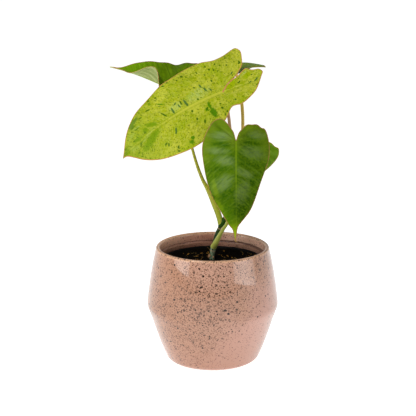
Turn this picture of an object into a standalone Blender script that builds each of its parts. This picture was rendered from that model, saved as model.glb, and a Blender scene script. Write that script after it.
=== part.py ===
"""Potted philodendron: a glazed planter, a grower's pot of soil and a plant with five leaves.

Metres, +Z up. The planter stands on z = 0 with its axis on the Z axis, and the
newest leaf faces -Y.
"""

import math
import random

import bmesh
import bpy
import numpy as np
from mathutils import Vector

# clearance between pieces that touch
GAP = 0.0003

# glazed planter
POT_FLOOR = 0.008
POT_STEPS = 72

# its section as (radius, height), from the middle of the floor inside, up the wall
# past a shallow groove, over the lip and down the belly to the foot
POT_SECTION = (
    (0.0, POT_FLOOR),
    (0.0440, POT_FLOOR),
    (0.0500, 0.0095),
    (0.0556, 0.0170),
    (0.0632, 0.0360),
    (0.0694, 0.0530),
    (0.0728, 0.0660),
    (0.0728, 0.0740),
    (0.0712, 0.0860),
    (0.0678, 0.1030),
    (0.0643, 0.1170),
    (0.0624, 0.1232),
    (0.0630, 0.1239),
    (0.0634, 0.1264),
    (0.0624, 0.1272),
    (0.0622, 0.1350),
    (0.0630, 0.1372),
    (0.0648, 0.1380),
    (0.0666, 0.1372),
    (0.0673, 0.1352),
    (0.0709, 0.1190),
    (0.0738, 0.1023),
    (0.0762, 0.0860),
    (0.0776, 0.0745),
    (0.0780, 0.0694),
    (0.0774, 0.0650),
    (0.0727, 0.0520),
    (0.0671, 0.0347),
    (0.0614, 0.0185),
    (0.0573, 0.0085),
    (0.0552, 0.0040),
    (0.0523, 0.0012),
    (0.0485, 0.0),
    (0.0, 0.0),
)

# thin plastic grower's pot, standing in the planter
NURSERY_TOP = 0.1215
NURSERY_RIM_RADIUS = 0.060
NURSERY_RIM_DEPTH = 0.0045
NURSERY_TOP_RADIUS = 0.0575
NURSERY_FOOT_RADIUS = 0.043
NURSERY_WALL = 0.001
NURSERY_ROUND = 0.0006
NURSERY_STEPS = 48
DRAIN_HOLE_RADIUS = 0.003
DRAIN_RING_RADIUS = 0.029
DRAIN_HOLES = 8

# potting mix
SOIL_TOP = 0.1185
SOIL_EDGE = 0.117
SOIL_BUMP = 0.0011
SOIL_RINGS = (0.006, 0.014, 0.022, 0.029, 0.036, 0.043, 0.050)
SOIL_STEPS = 40
CHIP_COUNT = 22
CHIP_SIZE = (0.0045, 0.0028, 0.0018)
CHIP_NEAREST = 0.014
CHIP_FARTHEST = 0.050
CHIP_TILT = 0.35
GOLDEN_TURN = 2.39996

# stem, from its foot in the soil to the top node: place, then radius
STEM_FOOT = 0.0853
STEM_X = -0.0008
STEM_Y = 0.009
STEM_RADIUS = 0.003
STEM_ROUTE = (
    ((STEM_X, STEM_Y, STEM_FOOT), STEM_RADIUS),
    ((STEM_X, STEM_Y, 0.102), STEM_RADIUS),
    ((STEM_X, STEM_Y, 0.1185), STEM_RADIUS),
    ((-0.0004, 0.0094, 0.1258), 0.0029),
    ((0.0006, 0.0100, 0.1310), 0.0037),
    ((0.0024, 0.0102, 0.1362), 0.0029),
    ((0.0062, 0.0102, 0.1500), 0.0027),
    ((0.0090, 0.0100, 0.1570), 0.0029),
    ((0.0102, 0.0100, 0.1600), 0.0036),
    ((0.0124, 0.0100, 0.1645), 0.0028),
    ((0.0168, 0.0100, 0.1722), 0.0030),
    ((0.0184, 0.0100, 0.1750), 0.0034),
    ((0.0214, 0.0100, 0.1806), 0.0030),
    ((0.0229, 0.0100, 0.1835), 0.0033),
    ((0.0246, 0.0100, 0.1870), 0.0028),
    ((0.0256, 0.0100, 0.1896), 0.0025),
)
STEM_ROUNDNESS = 3
STEM_SMOOTHNESS = 3
HOLE_ROUNDNESS = 4

# short aerial roots at the foot of the stem: places from the stem outwards
AERIAL_ROOTS = (
    ((-0.0012, 0.0080, 0.1262), (-0.0046, 0.0058, 0.1242), (-0.0062, 0.0047, 0.1213)),
    ((0.0004, 0.0080, 0.1258), (0.0026, 0.0050, 0.1238), (0.0033, 0.0038, 0.1212)),
    ((-0.0014, 0.0096, 0.1242), (-0.0048, 0.0100, 0.1230), (-0.0063, 0.0102, 0.1212)),
)
AERIAL_ROOT_RADII = (0.0013, 0.0011, 0.0007)
ROOT_ROUNDNESS = 1

# leaf stalks: where each leaves the stem and how it runs up to its blade
PETIOLES = {
    "petiole_a": {
        "leaf": "leaf_a",
        "color": (0.33, 0.17, 0.08),
        "route": (
            (0.0253, 0.0100, 0.1886),
            (0.0262, 0.0102, 0.1960),
            (0.0254, 0.0104, 0.2250),
            (0.0201, 0.0100, 0.2790),
            (0.0178, 0.0095, 0.2965),
            (0.0140, 0.0084, 0.3130),
        ),
        "radii": (0.0022, 0.0024, 0.0021, 0.0019, 0.0019, 0.0018, 0.0016),
    },
    "petiole_b": {
        "leaf": "leaf_b",
        "color": (0.30, 0.38, 0.09),
        "route": (
            (0.0004, 0.0088, 0.1312),
            (0.0030, 0.0048, 0.1376),
            (0.0080, 0.0000, 0.1500),
            (0.0171, -0.0110, 0.1690),
            (0.0235, -0.0240, 0.2060),
            (0.0262, -0.0350, 0.2460),
            (0.0266, -0.0385, 0.2660),
        ),
        "radii": (0.0039, 0.0036, 0.0029, 0.0020, 0.0017, 0.0016, 0.0016, 0.0015),
    },
    "petiole_c": {
        "leaf": "leaf_c",
        "color": (0.24, 0.31, 0.03),
        "route": (
            (0.0098, 0.0104, 0.1606),
            (0.0076, 0.0115, 0.1690),
            (0.0010, 0.0135, 0.1860),
            (-0.0066, 0.0165, 0.2044),
            (-0.0121, 0.0205, 0.2154),
            (-0.0236, 0.0330, 0.2482),
            (-0.0330, 0.0480, 0.2850),
        ),
        "radii": (0.0027, 0.0024, 0.0021, 0.0018, 0.0016, 0.0014, 0.0013, 0.0013),
    },
    "petiole_d": {
        "leaf": "leaf_d",
        "color": (0.36, 0.25, 0.07),
        "route": (
            (0.0205, 0.0104, 0.1790),
            (0.0262, 0.0150, 0.1850),
            (0.0305, 0.0172, 0.1980),
            (0.0338, 0.0178, 0.2280),
            (0.0360, 0.0205, 0.2768),
            (0.0346, 0.0265, 0.3032),
            (0.0300, 0.0345, 0.3230),
        ),
        "radii": (0.0026, 0.0023, 0.0022, 0.0021, 0.0020, 0.0020, 0.0018, 0.0015),
    },
    "petiole_e": {
        "leaf": "leaf_e",
        "color": (0.22, 0.28, 0.05),
        "route": (
            (0.0182, 0.0098, 0.1748),
            (0.0242, 0.0068, 0.1778),
            (0.0325, 0.0040, 0.1890),
            (0.0410, 0.0040, 0.2100),
            (0.0480, 0.0035, 0.2350),
            (0.0510, 0.0005, 0.2520),
        ),
        "radii": (0.0024, 0.0021, 0.0018, 0.0015, 0.0014, 0.0013, 0.0013),
    },
}
STALK_SEAT = 0.0022
STALK_APPROACH = 0.004
STALK_ROUNDNESS = 2
STALK_SMOOTHNESS = 4

# leaf blades
BLADE_THICKNESS = 0.0008
RIB_THICKNESS = 0.0026
RIB_TIP_THICKNESS = 0.0011
LOBE_RIB_THICKNESS = 0.0016
LOBE_COLUMNS = 6
BODY_COLUMNS = 12
LOBE_END = 0.12
TIP_CROWDING = 1.15
RIB_ROWS = (0.0, 0.12, 0.38, 0.69, 1.0)
FOLD_STATIONS = (-0.4, 0.0, 0.35, 0.7, 1.0)

# An outline starts at the notch where the stalk joins, goes back round the lobe and
# on to the tip. Its points are millimetres along the midrib and across it. fold holds
# the angle of each half at FOLD_STATIONS, in shares of the length, and curl the turn
# from midrib to margin, both in degrees.
LEAVES = {
    "leaf_a": {
        "color": (0.43, 0.47, 0.03),
        "base": (0.0117, 0.0, 0.3222),
        "tip": (-0.908, -0.286, -0.307),
        "face": (0.018, -0.757, 0.653),
        "length": 0.142,
        "half": 0.045,
        "droop": 14,
        "swing": 0.026,
        "fold": ((5, 5, 5, 4, 2), (6, 6, 5, 4, 2)),
        "curl": (-16, -14),
        "lobe_rise": 0.0,
        "waves": ((1, 0.0012, 2.2, 0.1), (-1, 0.0012, 2.6, 0.3)),
        "left": (
            (0, 0), (-9, -4), (-20, -9.2), (-30, -14), (-38, -16), (-45, -12.5), (-51, -11),
            (-54, -6), (-50, -1), (-37, 13), (-24, 20), (-13, 23.5), (-7, 22.5), (0, 23.5),
            (13, 35), (29, 42), (46, 45.5), (63, 46.5), (79, 43.5), (96, 37), (109, 29),
            (119, 20), (128, 9), (133, 3.5), (138, 1.5),
        ),
        "right": (
            (0, 0), (-11, -7.4), (-21, -12.8), (-32, -20), (-39, -29), (-42.5, -42), (-40, -49),
            (-35, -50), (-19, -45), (-6, -43.5), (9, -47.5), (27, -48.5), (48, -45),
            (63, -44), (84, -38), (103, -32), (116, -24.5), (125, -16), (133, -5), (138, 1.5),
        ),
        "rib_ends": ((-34, 2), (-24, -28)),
    },
    "leaf_b": {
        "color": (0.075, 0.20, 0.015),
        "base": (0.0263, -0.045, 0.2742),
        "tip": (0.0, -0.15, -0.985),
        "face": (0.0, -1.0, 0.15),
        "length": 0.120,
        "half": 0.040,
        "droop": 14,
        "swing": 0.001,
        "fold": ((8, 8, 7, 5, 3), (8, 8, 7, 5, 3)),
        "curl": (-26, -26),
        "lobe_rise": -0.3,
        "waves": ((1, 0.0010, 3.2, 0.1), (-1, 0.0010, 2.8, 0.4)),
        "left": (
            (0, 0), (-8.5, 3), (-13, 7), (-17.6, 12), (-17.8, 18), (-17.8, 24), (-14, 29),
            (-12.5, 33), (-5, 36.3), (8.5, 38.5), (24, 37.2), (45, 29.5), (69, 21.3),
            (82, 15.3), (92, 7.8), (98.5, 2.9), (104, 1), (112, -0.1), (119.5, -1.2),
        ),
        "right": (
            (0, 0), (-9, -2.6), (-14, -6), (-21.5, -12), (-24.5, -17.5), (-22, -25),
            (-15, -30.5), (-4, -36), (7, -38.8), (20, -38.4), (45, -34), (66, -27),
            (87, -14.7), (97, -9.2), (103, -4.7), (110, -2.9), (119.5, -1.2),
        ),
        "rib_ends": ((-9, 19), (-12, -18)),
    },
    "leaf_c": {
        "color": (0.10, 0.26, 0.01),
        "base": (-0.0345, 0.055, 0.3105),
        "tip": (-0.872, 0.294, 0.391),
        "face": (0.299, -0.313, 0.902),
        "length": 0.100,
        "half": 0.045,
        "droop": 15,
        "swing": 0.0,
        "fold": ((-3, -3, 53, 24, 20), (42, 44, 20, 26, 24)),
        "curl": (-10, -10),
        "lobe_rise": 0.0,
        "waves": ((-1, 0.0014, 3.4, 0.1), (1, 0.0008, 2.5, 0.1)),
        "left": (
            (0, 0), (-6, 2.7), (-14, 7.2), (-22, 15), (-24.5, 23.5), (-19, 33), (-7, 40.5),
            (7, 44.3), (19, 44.6), (33, 41), (46, 35), (60, 26), (73, 16), (83, 6.5),
            (90, 2), (100, 0),
        ),
        "right": (
            (0, 0), (-6, -2.7), (-14, -7.2), (-21, -15), (-23, -23.5), (-18, -33), (-7, -40.5),
            (7, -44.3), (19, -44.6), (33, -41), (46, -35), (60, -26), (73, -16), (83, -6.5),
            (90, -2), (100, 0),
        ),
        "rib_ends": ((-13, 20), (-13, -20)),
    },
    "leaf_d": {
        "color": (0.035, 0.11, 0.035),
        "base": (0.0262, 0.045, 0.3383),
        "tip": (0.4945, 0.8565, 0.148),
        "face": (-0.10, -0.10, 0.99),
        "length": 0.079,
        "half": 0.027,
        "droop": 23,
        "swing": 0.0,
        "fold": ((6, 6, 4, 8, 2), (18, 18, 6, -8, -2)),
        "curl": (-10, -10),
        "lobe_rise": 0.0,
        "waves": (),
        "left": (
            (0, 0), (-5, 1.6), (-13, 4.5), (-19, 9), (-21, 14.5), (-17, 20.5), (-7, 24.7),
            (5, 26.7), (15, 27), (26, 25), (37, 21), (48, 15.7), (58, 9.5), (66, 4),
            (72, 1.5), (79, 0),
        ),
        "right": (
            (0, 0), (-5, -1.6), (-13, -4.5), (-19, -9), (-21, -14.5), (-17, -20.5), (-7, -24.7),
            (5, -26.7), (15, -27), (26, -25), (37, -21), (48, -15.7), (58, -9.5), (66, -4),
            (72, -1.5), (79, 0),
        ),
        "rib_ends": ((-11, 12), (-11, -12)),
    },
    "leaf_e": {
        "color": (0.08, 0.20, 0.01),
        "base": (0.0512, -0.010, 0.2638),
        "tip": (-0.5, -0.12, -0.86),
        "face": (0.0, -1.0, 0.2),
        "length": 0.078,
        "half": 0.029,
        "droop": 10,
        "swing": 0.0,
        "fold": ((5, 5, 5, 5, 3), (-22, -22, -15, -6, 0)),
        "curl": (-15, -24),
        "lobe_rise": 0.0,
        "waves": (),
        "left": (
            (0, 0), (-4, 3), (-7.2, 8), (-8.6, 14), (-7.2, 20), (-7.2, 25), (-1.5, 28.6),
            (5, 29.3), (14, 27.6), (23, 24.6), (37, 18.5), (52, 9.5), (63, 3.8), (71, 1.8),
            (78, 0),
        ),
        "right": (
            (0, 0), (-4, -3), (-7, -8), (-7, -14), (-3.5, -19.5), (3, -23.4), (10, -24.6),
            (17, -24.2), (25, -22.3), (37, -17.6), (52, -9.5), (63, -3.8), (71, -1.8),
            (78, 0),
        ),
        "rib_ends": ((-3, 15), (-2, -12)),
    },
}
MM = 0.001


def clear_scene():
    for obj in list(bpy.data.objects):
        bpy.data.objects.remove(obj, do_unlink=True)


def collection(name):
    found = bpy.data.collections.new(name)
    bpy.context.scene.collection.children.link(found)
    return found


def material(name, color, roughness, subsurface=0.0):
    mat = bpy.data.materials.new(name)
    mat.use_nodes = True
    shader = mat.node_tree.nodes["Principled BSDF"]
    shader.inputs["Base Color"].default_value = (*color, 1.0)
    shader.inputs["Roughness"].default_value = roughness
    shader.inputs["Metallic"].default_value = 0.0
    shader.inputs["Subsurface Weight"].default_value = subsurface
    return mat


def make_object(name, mesh, mat, home):
    obj = bpy.data.objects.new(name, mesh)
    home.objects.link(obj)
    if mat is not None:
        mesh.materials.append(mat)
    return obj


def applied(obj):
    """The object with its modifiers baked into its mesh."""
    graph = bpy.context.evaluated_depsgraph_get()
    mesh = bpy.data.meshes.new_from_object(obj.evaluated_get(graph))
    obj.modifiers.clear()
    obj.data = mesh
    return obj


def turned(name, profile, steps, mat, home):
    """A solid turned about Z from (radius, height) points that start and end on the axis."""
    mesh = bpy.data.meshes.new(name)
    points = [(radius, 0.0, height) for radius, height in profile]
    edges = [(i, i + 1) for i in range(len(points) - 1)]
    mesh.from_pydata(points, edges, [])
    obj = make_object(name, mesh, mat, home)
    screw = obj.modifiers.new("turn", "SCREW")
    screw.axis = "Z"
    screw.steps = steps
    screw.render_steps = steps
    screw.use_merge_vertices = True
    screw.merge_threshold = 0.00001
    screw.use_smooth_shade = True
    return obj


def tube(name, route, radii, roundness, smoothness, mat, home):
    """A closed tube along a smooth route, as a mesh with welded caps."""
    curve = bpy.data.curves.new(name, "CURVE")
    curve.dimensions = "3D"
    curve.bevel_depth = 1.0
    curve.bevel_resolution = roundness
    curve.use_fill_caps = True
    curve.resolution_u = smoothness
    spline = curve.splines.new("BEZIER")
    spline.bezier_points.add(len(route) - 1)
    for point, place, radius in zip(spline.bezier_points, route, radii):
        point.co = place
        point.radius = radius
        point.handle_left_type = "AUTO"
        point.handle_right_type = "AUTO"
    guide = bpy.data.objects.new(name + "_route", curve)
    home.objects.link(guide)
    graph = bpy.context.evaluated_depsgraph_get()
    mesh = bpy.data.meshes.new_from_object(guide.evaluated_get(graph))
    bpy.data.objects.remove(guide, do_unlink=True)
    work = bmesh.new()
    work.from_mesh(mesh)
    bmesh.ops.remove_doubles(work, verts=work.verts, dist=0.00001)
    bmesh.ops.recalc_face_normals(work, faces=work.faces)
    work.to_mesh(mesh)
    work.free()
    mesh.materials.clear()
    return make_object(name, mesh, mat, home)


def helper(obj):
    """Marks a cutter or other tool object, which isn't part of the plant."""
    obj.hide_render = True
    obj.display_type = "WIRE"
    return obj


def cut(obj, cutter):
    difference = obj.modifiers.new("cut", "BOOLEAN")
    difference.operation = "DIFFERENCE"
    difference.solver = "EXACT"
    difference.object = cutter


def union_with(obj, group):
    """Joins every object of a collection into obj, then removes the collection."""
    union = obj.modifiers.new("join", "BOOLEAN")
    union.operation = "UNION"
    union.solver = "EXACT"
    union.operand_type = "COLLECTION"
    union.collection = group
    applied(obj)
    for piece in list(group.objects):
        bpy.data.objects.remove(piece, do_unlink=True)
    bpy.data.collections.remove(group)


def planter(mat, home):
    return turned("ceramic_pot", POT_SECTION, POT_STEPS, mat, home)


def nursery_pot(mat, home, tools):
    foot = POT_FLOOR + GAP
    rim_bottom = NURSERY_TOP - NURSERY_RIM_DEPTH
    inner_rim = NURSERY_TOP_RADIUS - NURSERY_WALL
    inner_foot = NURSERY_FOOT_RADIUS - NURSERY_WALL
    section = (
        (0.0, foot + NURSERY_WALL),
        (inner_foot - NURSERY_WALL, foot + NURSERY_WALL),
        (inner_foot, foot + 2 * NURSERY_WALL),
        (inner_rim, rim_bottom),
        (inner_rim + NURSERY_ROUND, NURSERY_TOP - NURSERY_ROUND),
        (inner_rim + 2 * NURSERY_ROUND, NURSERY_TOP),
        (NURSERY_RIM_RADIUS - NURSERY_ROUND, NURSERY_TOP),
        (NURSERY_RIM_RADIUS, NURSERY_TOP - NURSERY_ROUND),
        (NURSERY_RIM_RADIUS, rim_bottom + GAP),
        (NURSERY_TOP_RADIUS, rim_bottom),
        (NURSERY_FOOT_RADIUS, foot + 2 * NURSERY_ROUND),
        (NURSERY_FOOT_RADIUS - 2 * NURSERY_ROUND, foot),
        (0.0, foot),
    )
    pot = turned("nursery_pot", section, NURSERY_STEPS, mat, home)
    drill = bmesh.new()
    places = [Vector((0.0, 0.0, foot))]
    for i in range(DRAIN_HOLES):
        turn = 2 * math.pi * i / DRAIN_HOLES
        places.append(Vector((math.cos(turn), math.sin(turn), 0.0)) * DRAIN_RING_RADIUS + places[0])
    for place in places:
        made = bmesh.ops.create_cone(
            drill,
            cap_ends=True,
            segments=16,
            radius1=DRAIN_HOLE_RADIUS,
            radius2=DRAIN_HOLE_RADIUS,
            depth=8 * NURSERY_WALL,
        )
        bmesh.ops.translate(drill, verts=made["verts"], vec=place)
    mesh = bpy.data.meshes.new("drain_drills")
    drill.to_mesh(mesh)
    drill.free()
    cut(pot, helper(make_object("drain_drills", mesh, None, tools)))
    return pot


def soil_bump(x, y):
    """Height of the potting mix above its mean level."""
    wave = math.sin(310 * x + 0.6) * math.cos(265 * y - 0.4)
    ripple = 0.6 * math.sin(720 * x - 410 * y + 1.3)
    return SOIL_BUMP * (0.7 * wave + 0.5 * ripple)


def soil_wall(height):
    """Radius of the potting mix at a height, clear of the tapered plastic wall."""
    low = POT_FLOOR + GAP + 2 * NURSERY_ROUND
    high = NURSERY_TOP - NURSERY_RIM_DEPTH
    slope = (NURSERY_TOP_RADIUS - NURSERY_FOOT_RADIUS) / (high - low)
    return NURSERY_FOOT_RADIUS - NURSERY_WALL - 2 * GAP + slope * (height - low)


def chip(place, size, tilt):
    """One bark chip, as a small turned block."""
    bpy.ops.mesh.primitive_cube_add(size=1.0, location=place, rotation=tilt)
    block = bpy.context.object
    block.scale = size
    return block


def soil(mat, home, tools):
    floor = POT_FLOOR + GAP + NURSERY_WALL + GAP
    shoulder = floor + 0.003
    section = (
        (0.0, SOIL_TOP),
        *((radius, SOIL_TOP) for radius in SOIL_RINGS),
        (soil_wall(SOIL_EDGE), SOIL_EDGE),
        (soil_wall(shoulder), shoulder),
        (NURSERY_FOOT_RADIUS - 3.5 * NURSERY_WALL, floor),
        (0.0, floor),
    )
    body = applied(turned("soil", section, SOIL_STEPS, mat, home))
    for vertex in body.data.vertices:
        if vertex.co.z > (SOIL_EDGE + SOIL_TOP) / 2:
            vertex.co.z += soil_bump(vertex.co.x, vertex.co.y)
    chips = collection("chips")
    dice = random.Random(7)
    for i in range(CHIP_COUNT):
        away = CHIP_NEAREST + (CHIP_FARTHEST - CHIP_NEAREST) * math.sqrt((i + 0.5) / CHIP_COUNT)
        x = away * math.cos(i * GOLDEN_TURN)
        y = away * math.sin(i * GOLDEN_TURN)
        size = [side * dice.uniform(0.7, 1.25) for side in CHIP_SIZE]
        tilt = [dice.uniform(-CHIP_TILT, CHIP_TILT) for _ in range(2)]
        block = chip((x, y, SOIL_TOP + soil_bump(x, y)), size, (*tilt, dice.uniform(0.0, math.pi)))
        for owner in list(block.users_collection):
            owner.objects.unlink(block)
        chips.objects.link(block)
    bpy.context.view_layer.update()
    union_with(body, chips)
    hole = ((STEM_X, STEM_Y, STEM_FOOT - GAP), (STEM_X, STEM_Y, SOIL_TOP + 0.008))
    drill = tube("stem_drill", hole, (STEM_RADIUS + GAP,) * 2, HOLE_ROUNDNESS, 2, None, tools)
    cut(body, helper(drill))
    return body


def stem(mat, home):
    places = [place for place, radius in STEM_ROUTE]
    radii = [radius for place, radius in STEM_ROUTE]
    body = tube("stem", places, radii, STEM_ROUNDNESS, STEM_SMOOTHNESS, mat, home)
    roots = collection("roots")
    for i, route in enumerate(AERIAL_ROOTS):
        tube(f"root_{i}", route, AERIAL_ROOT_RADII, ROOT_ROUNDNESS, STEM_SMOOTHNESS, None, roots)
    union_with(body, roots)
    return body


def unit(vector):
    vector = np.asarray(vector, float)
    return vector / np.linalg.norm(vector)


def leaf_frame(leaf):
    """Unit vectors along the midrib, to its left and out of the upper face."""
    along = unit(leaf["tip"])
    face = np.asarray(leaf["face"], float)
    face = unit(face - along * (face @ along))
    return along, np.cross(face, along), face


def eased(share, values):
    """Values given at FOLD_STATIONS, joined by smooth steps."""
    stations = np.asarray(FOLD_STATIONS)
    values = np.asarray(values, float)
    share = np.clip(share, stations[0], stations[-1])
    index = np.clip(np.searchsorted(stations, share, side="right") - 1, 0, len(stations) - 2)
    step = (share - stations[index]) / (stations[index + 1] - stations[index])
    step = step * step * (3 - 2 * step)
    return values[index] * (1 - step) + values[index + 1] * step


def leaf_surface(leaf, along_mm, across_mm):
    """Points of the upper face at distances along the midrib and across it."""
    along, left, face = leaf_frame(leaf)
    u = np.asarray(along_mm, float) * MM
    v = np.asarray(across_mm, float) * MM
    length = leaf["length"]
    share = u / length
    marks = np.linspace(0.0, 1.1, 111)
    bend = np.radians(leaf["droop"]) * marks**1.3
    middle = (bend[1:] + bend[:-1]) / 2
    run = np.concatenate([[0.0], np.cumsum(np.cos(middle))]) * length * 0.01
    drop = np.concatenate([[0.0], np.cumsum(np.sin(middle))]) * length * 0.01
    ahead = np.clip(share, 0.0, 1.1)
    rib_x = np.interp(ahead, marks, run) + np.minimum(u, 0.0)
    rib_z = -np.interp(ahead, marks, drop)
    rib_y = leaf["swing"] * ahead**2
    turn = np.radians(leaf["droop"]) * ahead**1.3
    up = np.cos(turn)[..., None] * face + np.sin(turn)[..., None] * along
    is_left = v >= 0
    away = np.abs(v)
    fold_left = eased(share, leaf["fold"][0])
    fold_right = eased(share, leaf["fold"][1])
    fold = np.radians(np.where(is_left, fold_left, fold_right))
    curl = np.radians(np.where(is_left, leaf["curl"][0], leaf["curl"][1])) / leaf["half"]
    side = (np.sin(fold + curl * away) - np.sin(fold)) / curl
    rise = (np.cos(fold) - np.cos(fold + curl * away)) / curl
    for half, height, count, start in leaf["waves"]:
        wave = np.sin(2 * np.pi * (count * share + start))
        rise = rise + np.where(is_left == (half > 0), height, 0.0) * wave * (away / leaf["half"]) ** 2
    rise = rise + leaf["lobe_rise"] * np.minimum(share, 0.0) ** 2 * length
    rib = rib_x[..., None] * along + rib_z[..., None] * face + rib_y[..., None] * left
    across = np.where(is_left, side, -side)[..., None] * left
    return np.asarray(leaf["base"]) + rib + across + rise[..., None] * up


def smooth_outline(points):
    """A smooth curve through the given points, and the share of its length at each place."""
    points = np.asarray(points, float)
    before = np.vstack([2 * points[0] - points[1], points[:-1]])
    after = np.vstack([points[1:], 2 * points[-1] - points[-2]])
    slopes = (after - before) / 2
    curve = [points[:1]]
    steps = np.linspace(0.0, 1.0, 13)[1:, None]
    for i in range(len(points) - 1):
        curve.append(
            (2 * steps**3 - 3 * steps**2 + 1) * points[i]
            + (steps**3 - 2 * steps**2 + steps) * slopes[i]
            + (3 * steps**2 - 2 * steps**3) * points[i + 1]
            + (steps**3 - steps**2) * slopes[i + 1]
        )
    curve = np.vstack(curve)
    walked = np.concatenate([[0.0], np.cumsum(np.linalg.norm(np.diff(curve, axis=0), axis=1))])
    return curve, walked / walked[-1]


def body_marks():
    """Shares of the way from the notch to the tip, closer together near the tip."""
    return 1.0 - (1.0 - np.linspace(0.0, 1.0, BODY_COLUMNS + 1)) ** TIP_CROWDING


def margin_points(outline):
    """One margin point for each vein column, from the notch round the lobe to the tip."""
    curve, share = smooth_outline(outline)
    tail = curve[:, 0].argmin()
    past = (curve[:, 0] > LOBE_END * curve[-1, 0]) & (np.arange(len(curve)) > tail)
    ahead = np.flatnonzero(past)[0]
    knots = np.concatenate(
        [
            np.linspace(0.0, share[tail], LOBE_COLUMNS + 1),
            np.linspace(share[tail], share[ahead], LOBE_COLUMNS + 1)[1:],
            share[ahead] + (1.0 - share[ahead]) * body_marks()[1:],
        ]
    )
    return np.stack([np.interp(knots, share, curve[:, i]) for i in range(2)], axis=1)


def rib_points(rib_end, tip):
    """The rib point of each vein column: out along the lobe's rib, back, and on to the tip."""
    out = np.linspace((0.0, 0.0), rib_end, LOBE_COLUMNS + 1)
    on = body_marks()[:, None] * np.asarray(tip, float)
    return np.vstack([out, out[::-1][1:], on[1:]])


def rib_thickness(column):
    """Thickness of the blade at the rib of a column."""
    if column == 0 or column == 2 * LOBE_COLUMNS:
        return RIB_THICKNESS
    if column < 2 * LOBE_COLUMNS:
        return LOBE_RIB_THICKNESS
    share = (column - 2 * LOBE_COLUMNS) / BODY_COLUMNS
    return RIB_THICKNESS + (RIB_TIP_THICKNESS - RIB_THICKNESS) * share**0.7


def blade(name, leaf, mat, home):
    """A closed blade: a sheet of vein columns, thickened most along its ribs."""
    places = {}
    points = []
    weights = []
    faces = []

    def vertex(flat, weight):
        key = (round(float(flat[0]), 4), round(float(flat[1]), 4))
        if key not in places:
            places[key] = len(points)
            points.append(flat)
            weights.append(weight)
        return places[key]

    for turn, outline, rib_end in (
        (1, leaf["left"], leaf["rib_ends"][0]),
        (-1, leaf["right"], leaf["rib_ends"][1]),
    ):
        margin = margin_points(outline)
        ribs = rib_points(rib_end, outline[-1])
        grid = []
        for column, (inner, outer) in enumerate(zip(ribs, margin)):
            rows = []
            for share in RIB_ROWS:
                thick = rib_thickness(column) if share == 0.0 else BLADE_THICKNESS
                rows.append(vertex(inner + (outer - inner) * share, thick / RIB_THICKNESS))
            grid.append(rows)
        for first, second in zip(grid, grid[1:]):
            for i in range(len(RIB_ROWS) - 1):
                for face in (
                    (first[i], first[i + 1], second[i + 1]),
                    (first[i], second[i + 1], second[i]),
                ):
                    if len(set(face)) == 3:
                        faces.append(face[::-1] if turn > 0 else face)
    flat = np.asarray(points)
    mesh = bpy.data.meshes.new(name)
    mesh.from_pydata([tuple(p) for p in leaf_surface(leaf, flat[:, 0], flat[:, 1])], [], faces)
    obj = make_object(name, mesh, mat, home)
    group = obj.vertex_groups.new(name="thickness")
    for index, weight in enumerate(weights):
        group.add([index], weight, "REPLACE")
    shell = obj.modifiers.new("shell", "SOLIDIFY")
    shell.thickness = RIB_THICKNESS
    shell.offset = -1.0
    shell.vertex_group = "thickness"
    shell.thickness_vertex_group = 0.0
    return obj


def stalk_end(leaf):
    """Where a stalk meets the rib under the blade, and the way that it points there."""
    _, _, face = leaf_frame(leaf)
    seat = leaf_surface(leaf, np.array([STALK_SEAT / MM]), np.array([0.0]))[0]
    return seat - face * (RIB_THICKNESS + GAP), face


def petiole(name, spec, mat, home, stem_drill):
    end, face = stalk_end(LEAVES[spec["leaf"]])
    route = [*spec["route"], tuple(end - face * STALK_APPROACH), tuple(end)]
    radii = (*spec["radii"], spec["radii"][-1])
    body = tube(name, route, radii, STALK_ROUNDNESS, STALK_SMOOTHNESS, mat, home)
    cut(body, stem_drill)
    return body


def stem_cutter(tools):
    places = [Vector(place) for place, radius in STEM_ROUTE]
    places[-1] += (places[-1] - places[-2]).normalized() * GAP
    radii = [radius + GAP for place, radius in STEM_ROUTE]
    cutter = tube("stem_cutter", places, radii, STEM_ROUNDNESS, STEM_SMOOTHNESS, None, tools)
    return helper(cutter)


def main():
    clear_scene()
    home = collection("potted_philodendron")
    tools = collection("cutters")
    glaze = material("glaze", (0.58, 0.36, 0.27), 0.2)
    plastic = material("black_plastic", (0.012, 0.011, 0.011), 0.5)
    mix = material("potting_mix", (0.018, 0.012, 0.008), 0.9)
    bark = material("green_stem", (0.035, 0.085, 0.02), 0.35)
    planter(glaze, home)
    nursery_pot(plastic, home, tools)
    soil(mix, home, tools)
    stem(bark, home)
    drill = stem_cutter(tools)
    for name, spec in PETIOLES.items():
        petiole(name, spec, material(name, spec["color"], 0.4), home, drill)
    for name, leaf in LEAVES.items():
        blade(name, leaf, material(name, leaf["color"], 0.35, 0.05), home)


main()
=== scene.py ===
# %% [markdown]
# # A philodendron in a speckled planter
#
# This lesson dresses a plain model of a young house plant. The model already has every
# piece at its true size: a planter, the grower's pot inside it, the potting mix, the
# stem, five stalks and five leaves. Each cell below makes one of them again with its
# real surface, and the plain solid then only serves for collision.

import math

import bpy
import numpy as np
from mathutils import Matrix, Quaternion, Vector


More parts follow.
